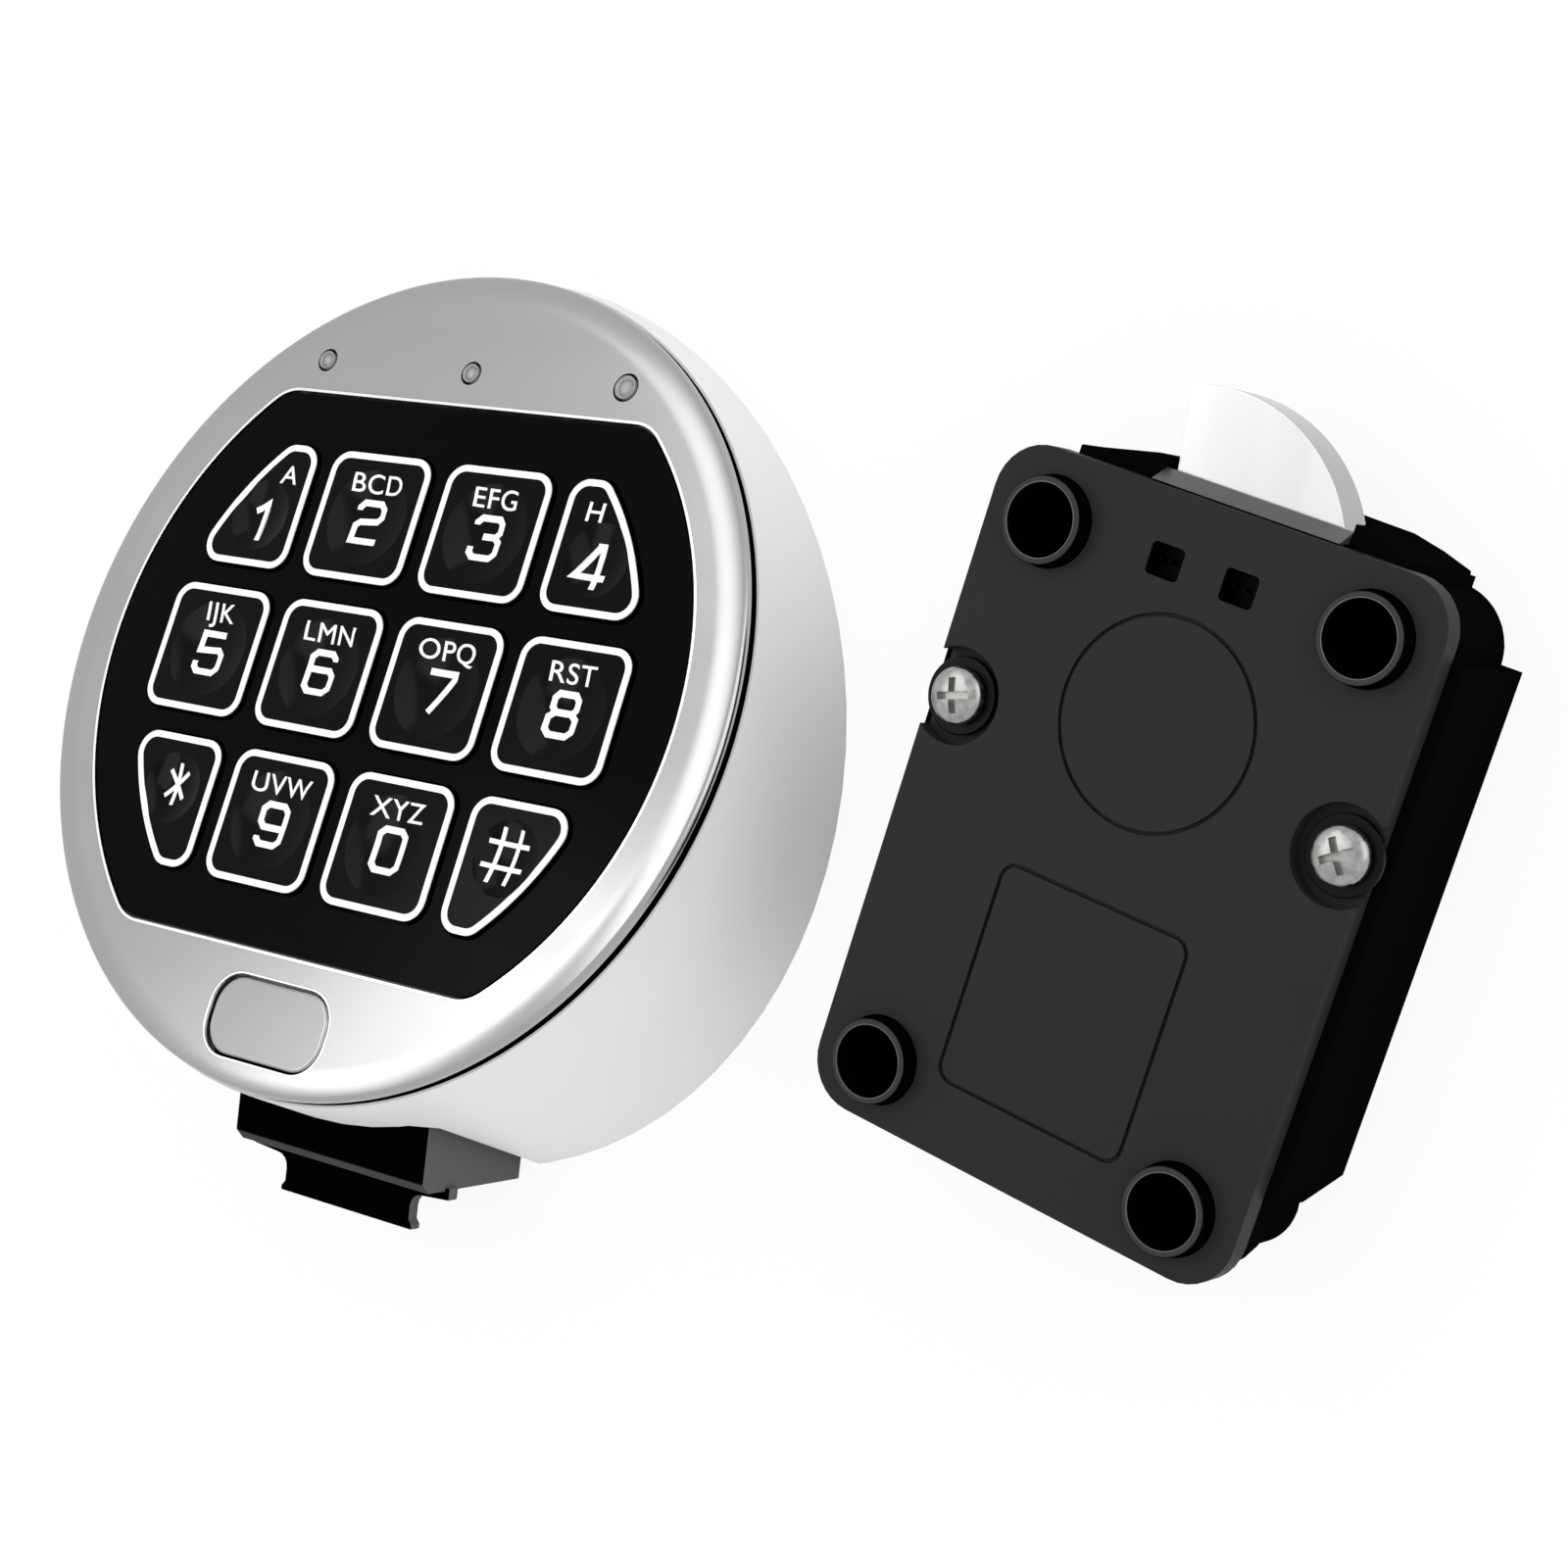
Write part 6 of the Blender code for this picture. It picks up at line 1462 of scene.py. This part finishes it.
class LOCK_OT_cover_screws(bpy.types.Operator):
    """Adds the two cross-head screws and their washers"""

    bl_idname = "lock.cover_screws"
    bl_label = "Cover screws"

    def execute(self, context):
        lock, bolt = context.scene.lock_body, context.scene.lock_bolt
        top = bolt.head_bottom + bolt.head_height
        crown = [
            (bolt.screw_head * math.sin(a), bolt.head_bottom + bolt.head_height * (0.35 + 0.65 * math.cos(a)))
            for a in (QUARTER * step / 8 for step in range(9))
        ]
        profile = crown + [
            (bolt.screw_head, bolt.head_bottom),
            (bolt.screw_shank, bolt.head_bottom),
            (bolt.screw_shank, bolt.screw_end),
            (0.0, bolt.screw_end),
        ]
        arm, half = bolt.cross_length / 2, bolt.cross_width / 2
        for label, side, turn in (("left", -1, 20.0), ("right", 1, 35.0)):
            spot = Matrix.Translation((side * lock.screw_x, lock.screw_y, 0.0))
            turn = Matrix.Rotation(math.radians(turn), 4, "Z")
            slots = [
                (boxes((-x, x, -y, y, top - bolt.cross_depth, top + OVERRUN)), turn)
                for x, y in ((arm, half), (half, arm))
            ]
            mesh = carved(turned(profile, 64), slots)
            place_piece("cross_head_screw_" + label, mesh, lock_place(lock) @ spot, "lock_set", dull_screw(),
                        "zinc_plated_steel", ("cover_screw_" + label,), 35.0)
        washer_wall = bolt.washer_radius - lock.screw_hole
        points = points_mesh(
            [(side * lock.screw_x, lock.screw_y, bolt.washer_bottom + bolt.washer_thickness / 2) for side in (1, -1)]
        )
        mesh = run_tree(
            tube_tree(),
            points,
            {
                "Middle radius": lock.screw_hole + washer_wall / 2,
                "Wall": washer_wall,
                "Height": bolt.washer_thickness,
                "Rim": bolt.washer_thickness / 4,
                "Material": washer_oxide(),
            },
        )
        place_piece("cover_washers", mesh, lock_place(lock), "lock_set", washer_oxide(), "zinc_plated_steel",
                    ("cover_washer_left", "cover_washer_right"), 60.0)
        return {"FINISHED"}


class LOCK_OT_swing_bolt(bpy.types.Operator):
    """Adds the polished quarter-disc bolt"""

    bl_idname = "lock.swing_bolt"
    bl_label = "Swing bolt"

    def execute(self, context):
        lock, bolt = context.scene.lock_body, context.scene.lock_bolt
        along = Vector((math.cos(bolt.side_angle), math.sin(bolt.side_angle)))
        outward = Vector((-along.y, along.x))
        tip = along * math.sqrt(bolt.radius**2 - bolt.side_offset**2) + outward * bolt.side_offset
        outline = []
        for step in range(5):
            share = step / 4
            way = bolt.heel_angle + (bolt.full_angle - bolt.heel_angle) * share
            radius = bolt.heel_radius + (bolt.radius - bolt.heel_radius) * share
            outline.append((radius * math.cos(way), radius * math.sin(way)))
        outline += arc(bolt.radius, bolt.full_angle, math.atan2(tip.y, tip.x), 64)[1:]
        hub_start = bolt.side_angle + QUARTER - math.acos(bolt.side_offset / bolt.hub_radius)
        outline += arc(bolt.hub_radius, hub_start, bolt.hub_end, 24)
        mesh = bevelled(plate([outline, circle(bolt.bore, 48)], bolt.bottom, bolt.top), bolt.edge, 3)
        place = lock_place(lock) @ Matrix.Translation((bolt.pin_x, bolt.pin_y, 0.0))
        place_piece("swing_bolt_polished", mesh, place, "bolt", polished_steel(), "polished_steel", ("swing_bolt",),
                    40.0)
        return {"FINISHED"}


class LOCK_OT_cable_sockets(bpy.types.Operator):
    """Adds the two square cable sockets that show in the cover. They are cream nylon, dressed in black moulding as a
    painted shade for their dark openings
    """

    bl_idname = "lock.cable_sockets"
    bl_label = "Cable sockets"

    def execute(self, context):
        for side in ("left", "right"):
            # The black moulding here is painted shade: the sockets themselves are cream plastic
            softened("cable_socket_" + side, "socket_" + side, 0.00015, "lock_set", black_moulding(), "cream_plastic")
        return {"FINISHED"}


class LOCK_OT_lock_inside(bpy.types.Operator):
    """Adds what is inside the lock: lever, solenoid, spring, pins and board"""

    bl_idname = "lock.lock_inside"
    bl_label = "Lock inside"

    def execute(self, context):
        softened("lever_steel", "locking_lever", 0.0002, "lever", rolled_steel(), "sheet_steel")
        softened("lever_pin_zinc", "lever_pin", 0.0002, "lock_set", zinc_plate(), "zinc_plated_steel")
        softened("bolt_pin_zinc", "bolt_pin", 0.0002, "lock_set", zinc_plate(), "zinc_plated_steel")
        softened("solenoid_bracket_steel", "solenoid_bracket", 0.0002, "lock_set", rolled_steel(), "sheet_steel")
        softened("plunger_zinc", "solenoid_plunger", 0.0002, "plunger", zinc_plate(), "zinc_plated_steel")
        softened("lock_circuit_board", "lock_board", 0.0001, "lock_set", green_board(), "green_circuit_board")
        for node, material, slot in (("bolt_spring", zinc_plate(), None), ("solenoid_coil", copper_wire(), None)):
            mesh = merged(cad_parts[node].data.copy())
            slot = "zinc_plated_steel" if node == "bolt_spring" else "copper_winding"
            place_piece(node + "_wound", mesh, Matrix(), "lock_set", material, slot, (node,), 60.0)
        return {"FINISHED"}


# Studio


class LOCK_OT_studio(bpy.types.Operator):
    """Adds the floor, the soft lights and the camera"""

    bl_idname = "lock.studio"
    bl_label = "Studio"

    def execute(self, context):
        studio = context.scene.lock_studio
        self.add_floor()
        self.set_sky(context, studio.sky)
        self.add_area("softbox", (-0.485, 0.08, 0.66), 0.36, 0.22, studio.softbox)
        self.add_area("fill", (0.72, 0.30, 0.30), 0.7, 0.7, studio.fill)
        self.add_area("overhead", (-0.28, 0.38, 0.80), 0.28, 0.80, studio.overhead)
        self.add_camera(context, studio)
        return {"FINISHED"}

    def add_floor(self):
        mesh = bpy.data.meshes.new("floor")
        mesh.from_pydata([(-3, -3, 0), (3, -3, 0), (3, 3, 0), (-3, 3, 0)], [], [(0, 1, 2, 3)])
        # Matt white paper sweep: seen white by the eye and in reflections, and it still takes a faint shadow
        material = bpy.data.materials.new("matt_white_paper")
        material.use_nodes = True
        tree = material.node_tree
        tree.nodes.clear()
        paper = add_node(tree, "ShaderNodeBsdfDiffuse", {"Color": linear("F6F6F6"), "Roughness": 0.6})
        white = add_node(tree, "ShaderNodeEmission", {"Color": (1.0, 1.0, 1.0, 1.0), "Strength": 1.0})
        rays = add_node(tree, "ShaderNodeLightPath")
        seen = add_node(
            tree, "ShaderNodeMath", {0: rays.outputs["Is Camera Ray"], 1: rays.outputs["Is Glossy Ray"]},
            operation="MAXIMUM",
        )
        seen = add_node(
            tree, "ShaderNodeMath", {0: seen.outputs[0], 1: rays.outputs["Is Transmission Ray"]}, operation="MAXIMUM"
        )
        share = add_node(tree, "ShaderNodeMath", {0: seen.outputs[0], 1: 0.9}, operation="MULTIPLY")
        mix = add_node(
            tree, "ShaderNodeMixShader", {0: share.outputs[0], 1: paper.outputs[0], 2: white.outputs[0]}
        )
        add_node(tree, "ShaderNodeOutputMaterial", {"Surface": mix.outputs[0]})
        mesh.materials.append(material)
        linked("paper_floor", mesh)

    def set_sky(self, context, strength):
        world = bpy.data.worlds.new("studio")
        context.scene.world = world
        world.use_nodes = True
        sky = world.node_tree.nodes["Background"]
        sky.inputs["Color"].default_value = (1.0, 1.0, 1.0, 1.0)
        sky.inputs["Strength"].default_value = strength

    def add_area(self, name, spot, width, height, power):
        light = bpy.data.lights.new(name, "AREA")
        light.shape = "RECTANGLE"
        light.size, light.size_y, light.energy = width, height, power
        lamp = bpy.data.objects.new(name, light)
        bpy.context.scene.collection.objects.link(lamp)
        lamp.location = spot
        lamp.rotation_euler = (Vector((0.0, 0.0, 0.02)) - Vector(spot)).to_track_quat("-Z", "Y").to_euler()

    def add_camera(self, context, studio):
        data = bpy.data.cameras.new("camera")
        data.sensor_width = 36.0
        data.lens = studio.lens
        camera = bpy.data.objects.new("camera", data)
        context.scene.collection.objects.link(camera)
        eye = Vector(studio.eye)
        look = (Vector(studio.target) - eye).to_track_quat("-Z", "Y").to_matrix().to_4x4()
        camera.matrix_world = Matrix.Translation(eye) @ look @ Matrix.Rotation(studio.roll, 4, "Z")
        data.clip_start = 0.01
        context.scene.camera = camera


class LOCK_PT_safe_lock(bpy.types.Panel):
    """Lists the pieces and the sizes of the safe lock"""

    bl_idname = "LOCK_PT_safe_lock"
    bl_label = "Safe lock"
    bl_space_type = "VIEW_3D"
    bl_region_type = "UI"
    bl_category = "Safe lock"

    def draw(self, context):
        layout = self.layout
        for operator in OPERATORS:
            layout.operator(operator.bl_idname)
        for label, _ in SETTINGS:
            box = layout.box()
            group = getattr(context.scene, label)
            for name in group.bl_rna.properties.keys():
                if name not in ("rna_type", "name"):
                    box.prop(group, name)


SETTINGS = (
    ("lock_keypad", KeypadSizes),
    ("lock_keys", KeySizes),
    ("lock_body", LockSizes),
    ("lock_bolt", BoltSizes),
    ("lock_colours", FinishColours),
    ("lock_studio", StudioSettings),
)
OPERATORS = (
    LOCK_OT_keypad_wall,
    LOCK_OT_face_ring,
    LOCK_OT_ring_groove_shadow,
    LOCK_OT_panel_chamfer,
    LOCK_OT_oval_pad,
    LOCK_OT_indicators,
    LOCK_OT_key_panel,
    LOCK_OT_keys,
    LOCK_OT_key_print,
    LOCK_OT_battery_drawer,
    LOCK_OT_keypad_inside,
    LOCK_OT_lock_case,
    LOCK_OT_lock_cover,
    LOCK_OT_sleeves,
    LOCK_OT_cover_screws,
    LOCK_OT_swing_bolt,
    LOCK_OT_cable_sockets,
    LOCK_OT_lock_inside,
    LOCK_OT_studio,
)


def register():
    for label, group in SETTINGS:
        bpy.utils.register_class(group)
        setattr(bpy.types.Scene, label, PointerProperty(type=group))
    for item in (*OPERATORS, LOCK_PT_safe_lock):
        bpy.utils.register_class(item)


def unregister():
    for item in (LOCK_PT_safe_lock, *reversed(OPERATORS)):
        bpy.utils.unregister_class(item)
    for label, group in reversed(SETTINGS):
        delattr(bpy.types.Scene, label)
        bpy.utils.unregister_class(group)


def main():
    for name in ("Cube", "Light", "Camera"):
        if name in bpy.data.objects:
            bpy.data.objects.remove(bpy.data.objects[name])
    register()
    context_scene = bpy.context.scene
    context_scene.view_settings.view_transform = "Standard"
    for operator in OPERATORS:
        family, name = operator.bl_idname.split(".")
        getattr(getattr(bpy.ops, family), name)()


if __name__ == "__main__":
    main()
